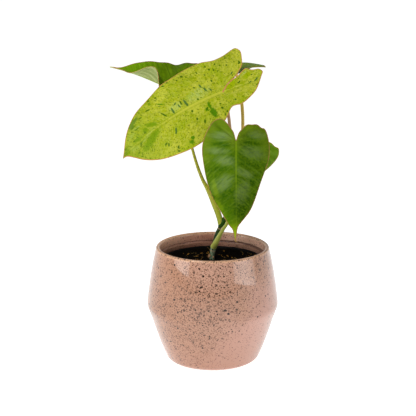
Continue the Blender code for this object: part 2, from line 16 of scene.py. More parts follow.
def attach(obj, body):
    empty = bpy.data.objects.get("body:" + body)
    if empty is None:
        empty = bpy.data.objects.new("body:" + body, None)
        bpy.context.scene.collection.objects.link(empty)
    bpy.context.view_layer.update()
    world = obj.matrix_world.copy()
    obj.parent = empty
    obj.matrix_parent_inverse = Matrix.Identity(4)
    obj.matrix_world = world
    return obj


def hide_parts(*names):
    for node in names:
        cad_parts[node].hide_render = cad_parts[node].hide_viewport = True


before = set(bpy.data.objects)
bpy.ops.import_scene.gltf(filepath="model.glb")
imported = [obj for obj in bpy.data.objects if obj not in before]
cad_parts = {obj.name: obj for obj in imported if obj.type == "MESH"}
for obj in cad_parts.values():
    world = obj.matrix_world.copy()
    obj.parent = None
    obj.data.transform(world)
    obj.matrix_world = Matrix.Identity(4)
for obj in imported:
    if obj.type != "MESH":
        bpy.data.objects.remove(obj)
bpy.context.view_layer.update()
print("plain pieces:", ", ".join(sorted(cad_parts)))

# %% [markdown]
# ## Small helpers
#
# Every finished piece is a plain mesh at the origin. One helper puts an object in the
# scene, one bakes the modifiers of a work object into a plain mesh, and one hangs a piece
# under the root body and hides the plain solid that it stands for.


# %% Finishing a piece
def placed(name, data):
    """An object made of its data and put in the scene."""
    made = bpy.data.objects.new(name, data)
    bpy.context.scene.collection.objects.link(made)
    return made


def baked(work, name):
    """A plain mesh object made from a work object, which is then removed."""
    graph = bpy.context.evaluated_depsgraph_get()
    mesh = bpy.data.meshes.new_from_object(work.evaluated_get(graph))
    bpy.data.objects.remove(work, do_unlink=True)
    mesh.name = name
    return placed(name, mesh)


def stands_for(piece, node):
    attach(piece, "root")
    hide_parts(node)
    print(piece.name, "stands for", node, "with", len(piece.data.polygons), "faces")


print("helpers:", placed.__name__, baked.__name__, stands_for.__name__)

# %% [markdown]
# ## Node trees
#
# The sky, the materials and the Geometry Nodes are all node trees. A small class adds the
# nodes and wires them, so that a tree reads like a formula.


# %% Node shorthand
def rgb(color):
    """Linear light of a colour that is given in parts of 255, as it is seen on a screen."""
    parts = [((part / 255 + 0.055) / 1.055) ** 2.4 if part > 10 else part / 3295 for part in color]
    return (*parts, 1.0)


class Nodes:
    """Adds nodes to a tree and wires them, one call for each."""

    def __init__(self, tree):
        self.tree = tree

    def add(self, kind, settings=None, **inputs):
        """A new node; an input is called by its name, or by its number as in n0."""
        node = self.tree.nodes.new(kind)
        for key, value in (settings or {}).items():
            setattr(node, key, value)
        for key, value in inputs.items():
            self.feed(node, key.replace("_", " "), value)
        return node

    def feed(self, node, key, value):
        by_number = key[0] == "n" and key[1:].isdigit()
        socket = node.inputs[int(key[1:]) if by_number else key]
        if isinstance(value, bpy.types.NodeSocket):
            self.tree.links.new(value, socket)
        else:
            socket.default_value = value

    def math(self, operation, first, second=0.0):
        return self.add("ShaderNodeMath", {"operation": operation}, n0=first, n1=second).outputs[0]

    def plus(self, first, second):
        return self.math("ADD", first, second)

    def minus(self, first, second):
        return self.math("SUBTRACT", first, second)

    def times(self, first, *others):
        for other in others:
            first = self.math("MULTIPLY", first, other)
        return first

    def step(self, value, low, high, to_low=0.0, to_high=1.0):
        """Maps a value smoothly from one span to another."""
        smooth = {"interpolation_type": "SMOOTHSTEP"}
        ends = {"From_Min": low, "From_Max": high, "To_Min": to_low, "To_Max": to_high}
        return self.add("ShaderNodeMapRange", smooth, Value=value, **ends).outputs["Result"]

    def mix(self, share, first, second, blend="MIX"):
        """Mixes two colours, each from a socket or in parts of 255."""
        first = rgb(first) if isinstance(first, tuple) else first
        second = rgb(second) if isinstance(second, tuple) else second
        settings = {"data_type": "RGBA", "blend_type": blend}
        return self.add("ShaderNodeMix", settings, n0=share, n6=first, n7=second).outputs[2]

    def cover(self, body, *layers):
        """Lays colours over a body, each by a mask and the most that it may cover."""
        for mask, most, color in layers:
            body = self.mix(self.times(mask, most), body, color)
        return body

    def noise(self, vector, scale, detail=3.0, roughness=0.55):
        inputs = {"Vector": vector, "Scale": scale, "Detail": detail, "Roughness": roughness}
        return self.add("ShaderNodeTexNoise", **inputs).outputs["Fac"]

    def stretch(self, vector, scale, place=(0.0, 0.0, 0.0)):
        inputs = {"Vector": vector, "Scale": scale, "Location": place}
        return self.add("ShaderNodeMapping", **inputs).outputs["Vector"]

    def attribute(self, name):
        return self.add("ShaderNodeAttribute", {"attribute_name": name}).outputs["Fac"]

    def mask(self, group, **inputs):
        return self.add("ShaderNodeGroup", {"node_tree": group}, **inputs).outputs["Mask"]

    def relief(self, height, strength, depth):
        inputs = {"Strength": strength, "Distance": depth, "Height": height}
        return self.add("ShaderNodeBump", **inputs).outputs[0]

    def dress(self, **inputs):
        """Feeds the inputs of a material's own shader."""
        for key, value in inputs.items():
            self.feed(self.tree.nodes["Principled BSDF"], key.replace("_", " "), value)


def new_material(name):
    """A material, its nodes, and the place of each point on the object."""
    made = bpy.data.materials.new(name)
    made.use_nodes = True
    net = Nodes(made.node_tree)
    return made, net, net.add("ShaderNodeTexCoord").outputs["Object"]


def new_tree(name, kind, inputs, output):
    """A node tree, its nodes, the sockets it is given and the one it gives."""
    tree = bpy.data.node_groups.new(name, kind + "NodeTree")
    for label, sort, value in inputs:
        sort = "NodeSocket" + sort
        made = tree.interface.new_socket(name=label, in_out="INPUT", socket_type=sort)
        if value is not None:
            made.default_value = value
    tree.interface.new_socket(name=output[0], in_out="OUTPUT", socket_type="NodeSocket" + output[1])
    given = tree.nodes.new("NodeGroupInput").outputs
    return tree, Nodes(tree), given, tree.nodes.new("NodeGroupOutput")


print("node shorthand:", len([key for key in vars(Nodes) if key[0] != "_"]), "calls")

# %% [markdown]
# ## Camera, floor and light
#
# The plant is seen from 1.6 m away and a little above, with a long lens, so the rims
# show as narrow ovals. A pale sky lights it evenly, brighter low behind. Two soft panels
# stand at the sides, where the glazed pot mirrors them as pale patches just under its lip,
# and a larger one hangs above.

# %% Camera
CAMERA_PLACE = (-0.0054, -1.6, 0.5818)
CAMERA_TILT = 76.04
SENSOR = 36.0
FOCAL_PIXELS = 1401.2
PICTURE_SIDE = 416

camera_data = bpy.data.cameras.new("camera")
camera_data.sensor_width = SENSOR
camera_data.lens = FOCAL_PIXELS * SENSOR / PICTURE_SIDE
camera = placed("camera", camera_data)
camera.location = CAMERA_PLACE
camera.rotation_euler = (math.radians(CAMERA_TILT), 0.0, 0.0)
bpy.context.scene.camera = camera
print("lens in mm:", round(camera_data.lens, 1))

# %% Floor
HALF_FLOOR = 7.0
FLOOR_GLOW = 0.8
WHITE = (1.0, 1.0, 1.0, 1.0)

corners = [(x * HALF_FLOOR, y * HALF_FLOOR, 0.0) for x, y in ((-1, -1), (1, -1), (1, 1), (-1, 1))]
floor_mesh = bpy.data.meshes.new("floor")
floor_mesh.from_pydata(corners, [], [(0, 1, 2, 3)])
paper, net, _ = new_material("pale floor")
net.dress(
    Base_Color=(0.9, 0.9, 0.9, 1.0), Roughness=0.9,
    Emission_Color=WHITE, Emission_Strength=FLOOR_GLOW,
)
floor_mesh.materials.append(paper)
floor = placed("floor", floor_mesh)
print("floor", 2 * HALF_FLOOR, "m wide")

# %% Sky
FRONT_SKY = 0.26
BACK_SKY = 0.85
TOWARDS_BACK = (-0.5, 0.25)
ABOVE_GROUND = (0.04, 0.32)

world = bpy.data.worlds.new("studio")
world.use_nodes = True
net = Nodes(world.node_tree)
toward = net.add("ShaderNodeTexCoord").outputs["Generated"]
axes = net.add("ShaderNodeSeparateXYZ", Vector=toward).outputs
behind = net.step(axes["Y"], *TOWARDS_BACK, 0.0, BACK_SKY - FRONT_SKY)
low_down = net.step(axes["Z"], *ABOVE_GROUND, 1.0, 0.0)
glow = net.plus(net.times(behind, low_down), FRONT_SKY)
backdrop = net.add("ShaderNodeLightPath").outputs["Is Camera Ray"]
net.feed(world.node_tree.nodes["Background"], "Strength", net.math("MAXIMUM", glow, backdrop))
net.feed(world.node_tree.nodes["Background"], "Color", WHITE)
bpy.context.scene.world = world
bpy.context.scene.view_settings.view_transform = "Standard"
print("sky", FRONT_SKY, "above and", BACK_SKY, "low behind")


# %% Soft panels
def panel(name, azimuth, elevation, distance, size, watts, spread=180.0, aim=0.15, roll=0.0):
    """A soft panel round the plant; azimuth 0 is the camera's side and 90 the right."""
    turn = math.radians(azimuth)
    rise = math.radians(elevation)
    flat = math.cos(rise)
    way = Vector((math.sin(turn) * flat, -math.cos(turn) * flat, math.sin(rise)))
    light = bpy.data.lights.new(name, "AREA")
    light.shape = "RECTANGLE"
    light.size, light.size_y = size
    light.energy = watts
    light.spread = math.radians(spread)
    lamp = placed(name, light)
    lamp.location = Vector((0.0, 0.0, aim)) + way * distance
    lamp.rotation_mode = "QUATERNION"
    rolled = Quaternion((0.0, 0.0, 1.0), math.radians(roll))
    lamp.rotation_quaternion = way.to_track_quat("Z", "Y") @ rolled


panel(
    "right panel", azimuth=61, elevation=0, distance=0.75, size=(0.62, 0.20), watts=0.24,
    spread=70.0, aim=0.195, roll=-7.0,
)
panel(
    "left panel", azimuth=-62, elevation=0, distance=0.75, size=(0.50, 0.24), watts=0.27,
    spread=70.0, aim=0.292, roll=-1.5,
)
panel("top panel", azimuth=-34, elevation=46, distance=1.5, size=(0.8, 0.6), watts=14)
print("panels:", len(bpy.data.lights))

# %% [markdown]
# ## Two shared effects
#
# Two effects come back in several materials, so each is a node group with its own inputs:
# soft mottling, and specks. The specks are Voronoi cells on a slightly warped place. A
# cell holds a dot or not, by the share, and its dots differ in size and depth.

# %% Mottling and specks
GEOMETRY = ("Geometry", "Geometry", None)
VECTOR = ("Vector", "Vector", None)
MASK = ("Mask", "Float")
SPECK_WARP = (0.0005, 0.0005, 0.0005)

mottle, net, given, out = new_tree(
    "mottling", "Shader", (VECTOR, ("Scale", "Float", 100.0), ("Contrast", "Float", 1.0)), MASK
)
rough = net.minus(net.noise(given["Vector"], given["Scale"], 5.0, 0.62), 0.5)
clamped = {"operation": "MULTIPLY_ADD", "use_clamp": True}
mask = net.add("ShaderNodeMath", clamped, n0=rough, n1=given["Contrast"], n2=0.5).outputs[0]
net.feed(out, "Mask", mask)

specks, net, given, out = new_tree(
    "specks", "Shader",
    (VECTOR, ("Scale", "Float", 900.0), ("Share", "Float", 0.5), ("Size", "Float", 0.3)), MASK,
)
ripples = net.times(given["Scale"], 1.6)
warp = net.add("ShaderNodeTexNoise", Vector=given["Vector"], Detail=2.0, Scale=ripples)
warp = warp.outputs["Color"]
added = {"operation": "MULTIPLY_ADD"}
bent = net.add("ShaderNodeVectorMath", added, n0=warp, n1=SPECK_WARP, n2=given["Vector"])
cells = net.add("ShaderNodeTexVoronoi", Vector=bent.outputs[0], Scale=given["Scale"]).outputs
chance, breadth, strength = net.add("ShaderNodeSeparateColor", Color=cells["Color"]).outputs
radius = net.times(given["Size"], net.plus(net.times(breadth, 0.8), 0.35))
dot = net.step(net.math("DIVIDE", cells["Distance"], radius), 1.0, 0.7)
kept = net.math("LESS_THAN", chance, given["Share"])
net.feed(out, "Mask", net.times(dot, kept, net.step(strength, 0.0, 1.0, 0.45, 1.0)))
print("node groups:", [group.name for group in bpy.data.node_groups])

# %% [markdown]
# ## The planter
#
# A thrown pot follows one rule: its section, turned about the middle. Geometry Nodes can
# do that turning. The section is a curve, and a circle sweeps it round; the tree takes
# the number of steps and the material as inputs, so the thin grower's pot uses it too.


# %% Turning tree
def clothed(net, geometry, finish, out):
    """Ends a tree: smooth shading, real geometry, and its material."""
    smooth = net.add("GeometryNodeSetShadeSmooth", Geometry=geometry)
    real = net.add("GeometryNodeRealizeInstances", Geometry=smooth.outputs[0])
    coat = net.add("GeometryNodeSetMaterial", Geometry=real.outputs[0], Material=finish)
    net.feed(out, "Geometry", coat.outputs[0])


def grown(work, name, tree, **inputs):
    """The piece that a tree makes of a work object."""
    modifier = work.modifiers.new("tree", "NODES")
    modifier.node_group = tree
    for item in tree.interface.items_tree:
        if item.item_type == "SOCKET" and item.in_out == "INPUT" and item.name in inputs:
            modifier[item.identifier] = inputs[item.name]
    return baked(work, name)


WHEEL_RADIUS = 0.05
WELD = 0.00001

wheel, net, given, out = new_tree(
    "turned on the wheel", "Geometry",
    (GEOMETRY, ("Steps", "Int", 160), ("Finish", "Material", None)), GEOMETRY,
)
ring = net.add("GeometryNodeCurvePrimitiveCircle", Resolution=given["Steps"], Radius=WHEEL_RADIUS)
shift = net.add(
    "GeometryNodeTransform", Geometry=given["Geometry"],
    Translation=(-WHEEL_RADIUS, 0.0, 0.0), Scale=(1.0, -1.0, 1.0),
)
section = net.add("GeometryNodeMeshToCurve", Mesh=shift.outputs[0]).outputs[0]
body = net.add("GeometryNodeCurveToMesh", Curve=ring.outputs["Curve"], Profile_Curve=section)
welded = net.add("GeometryNodeMergeByDistance", Geometry=body.outputs["Mesh"], Distance=WELD)
clothed(net, welded.outputs[0], given["Finish"], out)


def turned(name, section, steps, finish):
    """A piece turned from its section, a row of radii and heights."""
    mesh = bpy.data.meshes.new(name)
    edges = [(i, i + 1) for i in range(len(section) - 1)]
    mesh.from_pydata([(radius, height, 0.0) for radius, height in section], edges, [])
    return grown(placed(name + " section", mesh), name, wheel, Steps=steps, Finish=finish)


print("section curves are turned by:", wheel.name)


# %% Smooth curves
def through(points, starts, ends, pieces):
    """A curve through points, with a slope for the start and the end of each stretch."""
    steps = np.linspace(0.0, 1.0, pieces + 1)[1:, None]
    curve = [points[:1]]
    for first, second, start, end in zip(points, points[1:], starts, ends):
        curve.append(
            (2 * steps**3 - 3 * steps**2 + 1) * first
            + (steps**3 - 2 * steps**2 + steps) * start
            + (3 * steps**2 - 2 * steps**3) * second
            + (steps**3 - steps**2) * end
        )
    return np.vstack(curve)


def neighbours(points):
    """The points before and after each one; past the ends the line goes straight on."""
    before = np.vstack([2 * points[0] - points[1], points[:-1]])
    after = np.vstack([points[1:], 2 * points[-1] - points[-2]])
    return before, after


def smoothed(points, pieces):
    """A smooth curve through points, with sharp bends kept short."""
    points = np.asarray(points, float)
    before, after = neighbours(points)
    back = np.linalg.norm(points - before, axis=1)
    ahead = np.linalg.norm(after - points, axis=1)
    way = (after - before) / (back + ahead)[:, None]
    lengths = ahead[:-1, None]
    return through(points, way[:-1] * lengths, way[1:] * lengths, pieces)


print("a bend in four stretches has", len(smoothed(((0, 0), (1, 0), (1, 1)), 2)), "points")

# %% [markdown]
# The glaze is a thin pink-brown coat over speckled clay. Iron spots burn through it, many
# tiny ones and a few black ones, and they crowd on one side. That is a job for Voronoi
# cells: each cell may hold one dot, and a slow noise decides how many cells are used.


# %% Speckled glaze
# Glaze colours; top, belly and foot are painted light and shade, and the colour multiplied over the
# left side is painted shade.
GLAZE = {
    "pink": (187, 141, 124), "tan": (183, 139, 114), "pale": (192, 150, 128),
    "painted_left_shade": (247, 239, 230), "top": (204, 164, 146), "belly": (168, 126, 104),
    "foot": (150, 104, 78), "brown": (137, 95, 72), "lip": (214, 168, 132),
}
# The inner wall is painted lighter than the glaze outside, as painted light; light and glow add
# more painted light at the sides and on the right, and low and the groove's colour are painted
# shade under the groove.
INSIDE = {
    "brown": (183, 128, 107), "pink": (226, 171, 149), "light": (248, 194, 166),
    "glow": (255, 208, 184), "low": (138, 90, 70), "groove": (84, 50, 38),
}
# Cells to a metre, share that crowding adds, share elsewhere, size gained at the belly,
# size, how much they cover, and their colour.
SPECK_KINDS = (
    (1000.0, 0.55, 0.30, 0.0, 0.55, 0.8, (92, 48, 32)),
    (560.0, 0.92, 0.1, 0.1, 0.50, 0.95, (34, 12, 6)),
    (230.0, 0.97, 0.06, 0.06, 0.31, 1.0, (22, 6, 3)),
)


def glaze_material():
    """Pink to tan glaze with its iron spots, the browner inside, the pale lip, and painted light
    and shade.
    """
    made, net, place = new_material("speckled glaze")
    x, y, z = net.add("ShaderNodeSeparateXYZ", Vector=place).outputs
    off_middle = net.math("ABSOLUTE", x)
    middle = net.step(off_middle, 0.045, 0.012)
    cloud = net.minus(net.noise(place, 22.0), 0.5)
    slant = net.plus(net.plus(net.minus(x, net.times(z, 0.7)), 0.030), net.times(cloud, 0.07))
    dull = net.times(net.step(slant, 0.036, -0.010), net.step(z, 0.0, 0.055, 0.45, 1.0))
    flat = net.add("ShaderNodeCombineXYZ", X=x, Y=y).outputs[0]
    radius = net.add("ShaderNodeVectorMath", {"operation": "LENGTH"}, n0=flat).outputs["Value"]
    inside = net.times(net.step(radius, 0.0658, 0.0648), net.step(z, 0.09, 0.095))
    crowd = net.times(
        dull, net.step(slant, -0.125, -0.08, 0.45, 1.0), net.minus(1.0, net.times(inside, 0.85))
    )
    belly = net.times(
        net.step(net.math("ABSOLUTE", net.plus(x, 0.006)), 0.042, 0.014),
        net.step(z, 0.06, 0.076), net.step(z, 0.12, 0.102),
    )
    spots = []
    for scale, crowded, elsewhere, gain, size, most, color in SPECK_KINDS:
        share = net.plus(net.times(crowd, crowded), elsewhere)
        size = net.plus(net.times(belly, gain), size)
        mask = net.mask(specks, Vector=place, Scale=scale, Share=share, Size=size)
        spots.append((mask, most, color))
    body = net.mix(dull, GLAZE["pink"], GLAZE["tan"])
    body = net.cover(body, (net.step(cloud, -0.1, 0.25), 0.3, GLAZE["pale"]))
    # Painted shade: the left side of the pot is darkened a little and warmed.
    body = net.mix(net.step(x, -0.005, -0.05, 0.0, 0.9), body, GLAZE["painted_left_shade"], "MULTIPLY")
    halo = net.mask(mottle, Vector=place, Scale=620.0, Contrast=2.4)
    body = net.cover(
        body,
        # Painted light and shade: the front middle is lighter near the top and darker at the belly,
        # and the pot darker towards its foot.
        (net.times(middle, net.step(z, 0.095, 0.125)), 0.4, GLAZE["top"]),
        (net.times(middle, net.step(z, 0.105, 0.085)), 0.3, GLAZE["belly"]),
        (net.step(z, 0.045, 0.0), 0.3, GLAZE["foot"]),
        (halo, net.plus(net.times(crowd, 0.35), 0.08), GLAZE["brown"]),
    )
    streak = net.noise(net.stretch(place, (1.0, 1.0, 3.5)), 26.0)
    height = net.plus(z, net.times(cloud, 0.006))
    # Painted shade: the dark line of the groove under the mouth, faint on the left.
    groove = net.times(
        net.step(height, 0.1290, 0.1274), net.step(height, 0.1242, 0.1264),
        net.step(x, -0.03, 0.012, 0.15, 1.0),
    )
    wall = net.cover(
        net.mix(net.step(streak, 0.35, 0.65), INSIDE["brown"], INSIDE["pink"]),
        # Painted light: the inner wall is lighter towards both sides, and lighter still on the
        # right.
        (net.step(off_middle, 0.022, 0.052), 0.85, INSIDE["light"]),
        (net.step(x, 0.0, 0.022), 0.6, INSIDE["glow"]),
        # Painted shade: the band below the groove and the groove's line are darker.
        (net.step(height, 0.1268, 0.1258), 0.62, INSIDE["low"]),
        (groove, 0.8, INSIDE["groove"]),
    )
    lip = net.step(net.plus(z, net.times(cloud, 0.002)), 0.1345, 0.1368)
    body = net.cover(net.mix(inside, body, wall), (lip, 0.7, GLAZE["lip"]), *spots)
    pits = net.minus(net.noise(place, 240.0, 2.0), net.times(spots[1][0], 0.5))
    net.dress(
        Base_Color=body, Roughness=net.step(cloud, -0.2, 0.2, 0.26, 0.36), Specular_IOR_Level=0.12,
        Coat_Weight=0.8, Coat_Roughness=0.02, Normal=net.relief(pits, 0.12, 0.0004),
    )
    return made


glaze = glaze_material()
print("finish:", glaze.name)

# %% [markdown]
# The planter's wall is about 5 mm thick, wider at the belly, with a rounded lip. Inside,
# a shallow groove runs round under the mouth. The section goes from the middle of the
# floor up the inside, over the lip, and down the outside to the foot.

# %% Planter
POT_SECTION = (
    (0.0, 0.0080), (0.0440, 0.0080), (0.0500, 0.0095), (0.0556, 0.0170), (0.0632, 0.0360),
    (0.0694, 0.0530), (0.0728, 0.0660), (0.0728, 0.0740), (0.0712, 0.0860), (0.0678, 0.1030),
    (0.0643, 0.1170), (0.0628, 0.1228), (0.0625, 0.1254), (0.0633, 0.1262), (0.0633, 0.1272),
    (0.0624, 0.1279), (0.0622, 0.1350), (0.0630, 0.1372), (0.0648, 0.1380), (0.0666, 0.1372),
    (0.0673, 0.1352), (0.0709, 0.1190), (0.0738, 0.1023), (0.0762, 0.0860), (0.0776, 0.0745),
    (0.0780, 0.0694), (0.0774, 0.0650), (0.0727, 0.0520), (0.0671, 0.0347), (0.0614, 0.0185),
    (0.0573, 0.0085), (0.0552, 0.0040), (0.0523, 0.0012), (0.0485, 0.0), (0.0, 0.0),
)
PIECES_BETWEEN_POINTS = 5
PLANTER_STEPS = 192
section = smoothed(POT_SECTION, PIECES_BETWEEN_POINTS)
stands_for(turned("planter", section, PLANTER_STEPS, glaze), "ceramic_pot")

# %% [markdown]
# ## The grower's pot
#
# Plants are sold in a thin black pot of moulded plastic. Only its rim shows here. The
# plastic is nearly black, with a satin sheen and faint scratches.


# %% Grower's pot
def plastic_material():
    made, net, place = new_material("black plastic")
    dust = net.mask(mottle, Vector=place, Scale=220.0, Contrast=2.5)
    scratch = net.noise(net.stretch(place, (60.0, 60.0, 900.0)), 3.0)
    net.dress(
        Base_Color=net.mix(net.times(dust, 0.5), (3, 3, 4), (14, 14, 14)),
        Roughness=net.step(dust, 0.2, 0.8, 0.45, 0.7),
        Specular_IOR_Level=0.08,
        Normal=net.relief(scratch, 0.15, 0.0003),
    )
    return made


POT_FLOOR = 0.008
GAP = 0.0003
NURSERY_FOOT = POT_FLOOR + GAP
NURSERY_SECTION = (
    (0.0, NURSERY_FOOT + 0.0010), (0.0410, NURSERY_FOOT + 0.0010), (0.0420, NURSERY_FOOT + 0.0020),
    (0.0565, 0.1170), (0.0571, 0.1209), (0.0577, 0.1215), (0.0594, 0.1215), (0.0600, 0.1209),
    (0.0600, 0.1173), (0.0575, 0.1170), (0.0430, NURSERY_FOOT + 0.0012), (0.0418, NURSERY_FOOT),
    (0.0, NURSERY_FOOT),
)
NURSERY_STEPS = 128
plastic = plastic_material()
stands_for(turned("growers_pot", NURSERY_SECTION, NURSERY_STEPS, plastic), "nursery_pot")

# %% [markdown]
# ## Potting mix
#
# The mix is peat, bark and fibre. A turned body with a bumpy top carries it, and a
# scattering tree drops crumbs, chips and fibres on that top, each a squashed ball or a
# splinter with a random turn. The tree ends in real geometry with its material set.

# %% Scattering tree
UPWARD = 0.75
DENT_PUSH = 1.5
LEAST_TURN = (-0.5, -0.5, 0.0)
MOST_TURN = (0.5, 0.5, 6.283)
HALF = (0.5, 0.5, 0.5)

crumb_tree, net, given, out = new_tree(
    "scattered crumbs", "Geometry",
    (
        GEOMETRY, ("Density", "Float", 100000.0), ("Seed", "Int", 1),
        ("Smallest", "Vector", (0.0004, 0.0004, 0.0003)),
        ("Largest", "Vector", (0.0012, 0.001, 0.0008)),
        ("Roundness", "Int", 2), ("Finish", "Material", None),
    ),
    GEOMETRY,
)
normal = net.add("GeometryNodeInputNormal").outputs[0]
facing = net.add("ShaderNodeSeparateXYZ", Vector=normal).outputs["Z"]
upward = net.add("FunctionNodeCompare", {"operation": "GREATER_THAN"}, A=facing, B=UPWARD)
spots = net.add(
    "GeometryNodeDistributePointsOnFaces", Mesh=given["Geometry"], Selection=upward.outputs[0],
    Density=given["Density"], Seed=given["Seed"],
)
vectors = {"data_type": "FLOAT_VECTOR"}
size, turn = (
    net.add("FunctionNodeRandomValue", vectors, n0=least, n1=most, Seed=given["Seed"]).outputs[0]
    for least, most in ((given["Smallest"], given["Largest"]), (LEAST_TURN, MOST_TURN))
)
ball = net.add("GeometryNodeMeshIcoSphere", Radius=1.0, Subdivisions=given["Roundness"])
dents = net.add("ShaderNodeTexNoise", Scale=1.7, Detail=2.0)
less, scaled = {"operation": "SUBTRACT"}, {"operation": "SCALE"}
push = net.add("ShaderNodeVectorMath", less, n0=dents.outputs["Color"], n1=HALF)
more = net.add("ShaderNodeVectorMath", scaled, n0=push.outputs[0], Scale=DENT_PUSH)
dented = net.add("GeometryNodeSetPosition", Geometry=ball.outputs[0], Offset=more.outputs[0])
crumbs = net.add(
    "GeometryNodeInstanceOnPoints", Points=spots.outputs[0], Instance=dented.outputs[0],
    Rotation=turn, Scale=size,
)
clothed(net, crumbs.outputs[0], given["Finish"], out)
print("scattering tree:", crumb_tree.name)


# %% Potting mix finishes
def earth_material(name, dark, light, scale):
    made, net, place = new_material(name)
    tone = net.mask(mottle, Vector=place, Scale=scale, Contrast=2.6)
    net.dress(
        Base_Color=net.mix(tone, dark, light), Roughness=0.9, Specular_IOR_Level=0.05,
        Normal=net.relief(net.noise(place, 1400.0), 0.6, 0.0005),
    )
    return made


peat = earth_material("dark peat", (2, 2, 1), (17, 12, 6), 500.0)
bark = earth_material("bark chips", (62, 38, 12), (182, 130, 58), 260.0)
coir = earth_material("coconut fibre", (96, 70, 32), (186, 150, 86), 300.0)
print("potting mix finishes:", peat.name, bark.name, coir.name)

# %% Potting mix
SOIL_TOP = 0.1185
SOIL_EDGE = 0.117
SOIL_FLOOR = NURSERY_FOOT + 0.0010 + GAP
SOIL_RINGS = [0.0555 * math.sqrt(i / 26) for i in range(1, 26)]
SOIL_STEPS = 96
SOIL_BUMP = 0.0011
SOIL_GRIT = 0.0004
SOIL_BANK = 0.0017
BANK_START = 0.034
BANK_WIDTH = 0.021


def soil_rise(x, y):
    """How far the top of the mix rises: waves, a bank towards the pot's wall, and grit."""
    wave = math.sin(310 * x + 0.6) * math.cos(265 * y - 0.4)
    ripple = 0.6 * math.sin(720 * x - 410 * y + 1.3)
    bank = min(max((math.hypot(x, y) - BANK_START) / BANK_WIDTH, 0.0), 1.0) ** 2
    grit = math.sin(2100 * x) * math.sin(1900 * y + 1.0)
    return SOIL_BUMP * (0.7 * wave + 0.5 * ripple) + SOIL_BANK * bank + SOIL_GRIT * grit


soil_section = [(0.0, SOIL_TOP), *((ring, SOIL_TOP) for ring in SOIL_RINGS)]
soil_section += [(0.0556, SOIL_EDGE), (0.0415, SOIL_FLOOR + 0.003)]
soil_section += [(0.0395, SOIL_FLOOR), (0.0, SOIL_FLOOR)]
soil_body = turned("soil body", soil_section, SOIL_STEPS, peat)
for vertex in soil_body.data.vertices:
    if vertex.co.z > (SOIL_TOP + SOIL_EDGE) / 2:
        vertex.co.z += soil_rise(vertex.co.x, vertex.co.y)


def scattered(name, density, seed, smallest, largest, finish, roundness=2):
    """A layer of scattered pieces on the soil, as a mesh of its own."""
    work = placed(name + " bed", soil_body.data.copy())
    return grown(
        work, name, crumb_tree, Density=density, Seed=seed, Smallest=smallest, Largest=largest,
        Finish=finish, Roundness=roundness,
    )


def joined(parts, name):
    """One object from several, keeping each one's material."""
    with bpy.context.temp_override(active_object=parts[0], selected_editable_objects=parts):
        bpy.ops.object.join()
    parts[0].name = name
    parts[0].data.name = name
    return parts[0]


layers = [
    scattered("crumbs", 520000.0, 3, (0.0003, 0.0003, 0.0002), (0.0012, 0.0010, 0.0008), peat, 1),
    scattered("chips", 10000.0, 8, (0.0008, 0.0006, 0.0003), (0.0034, 0.0016, 0.0007), bark),
    scattered("fibres", 8000.0, 5, (0.0018, 0.00014, 0.00014), (0.0055, 0.0003, 0.0003), coir),
]
stands_for(joined([soil_body, *layers], "potting_mix"), "soil")

# %% [markdown]
# ## Stem and stalks
#
# Stem and stalks are swept along their routes. The sweeping tree reads each point's
# radius, so the nodes of the stem swell and the stalks taper, and it stores how far along
# each point lies. The materials use that to colour the sheath and the joints.

# %% Sweeping tree
sweeping, net, given, out = new_tree(
    "swept along its route", "Geometry",
    (GEOMETRY, ("Sides", "Int", 20), ("Rings", "Int", 90), ("Finish", "Material", None)), GEOMETRY,
)
even = net.add("GeometryNodeResampleCurve", Curve=given["Geometry"], Count=given["Rings"])
circle = net.add("GeometryNodeCurvePrimitiveCircle", Resolution=given["Sides"], Radius=1.0)
share = net.add("GeometryNodeSplineParameter").outputs["Factor"]
route, around = (
    net.add("GeometryNodeStoreNamedAttribute", Geometry=curve.outputs[0], Name=name, Value=share)
    for curve, name in ((even, "along"), (circle, "around"))
)
tube = net.add(
    "GeometryNodeCurveToMesh", Curve=route.outputs[0], Profile_Curve=around.outputs[0],
    Scale=net.add("GeometryNodeInputRadius").outputs[0], Fill_Caps=True,
)
clothed(net, tube.outputs["Mesh"], given["Finish"], out)


def swept(name, route, radii, sides, rings, finish):
    """A tube along a smooth route, closed at both ends."""
    curve = bpy.data.curves.new(name, "CURVE")
    curve.dimensions = "3D"
    curve.resolution_u = 16
    spline = curve.splines.new("BEZIER")
    spline.bezier_points.add(len(route) - 1)
    for point, place, radius in zip(spline.bezier_points, route, radii):
        point.co = place
        point.radius = radius
        point.handle_left_type = "AUTO"
        point.handle_right_type = "AUTO"
    work = placed(name + " route", curve)
    return grown(work, name, sweeping, Sides=sides, Rings=rings, Finish=finish)


print("sweeping tree:", sweeping.name)


# %% Green skin
def strands(net, count, scale):
    """Fine lines that run along a stalk."""
    around = net.times(net.attribute("around"), count)
    along = net.times(net.attribute("along"), 3.0)
    return net.noise(net.add("ShaderNodeCombineXYZ", X=around, Y=along).outputs[0], scale)


def skin_material(name, foot, middle, top, fleck, roughness=0.32):
    """A stalk's skin: three colours from foot to top, fine lines along it and flecks."""
    made, net, place = new_material(name)
    along = net.attribute("along")
    lines = strands(net, 9.0, 2.4)
    body = net.cover(
        net.mix(net.step(along, 0.08, 0.38), foot, middle),
        (net.step(along, 0.62, 0.97), 1.0, top),
        (net.step(lines, 0.35, 0.75), 0.35, fleck),
        (net.mask(specks, Vector=place, Scale=1300.0, Share=0.18, Size=0.4), 0.35, fleck),
    )
    relief = net.relief(lines, 0.3, 0.0003)
    net.dress(Base_Color=body, Roughness=roughness, Specular_IOR_Level=0.25, Normal=relief)
    return made


print("a skin is made by:", skin_material.__name__)

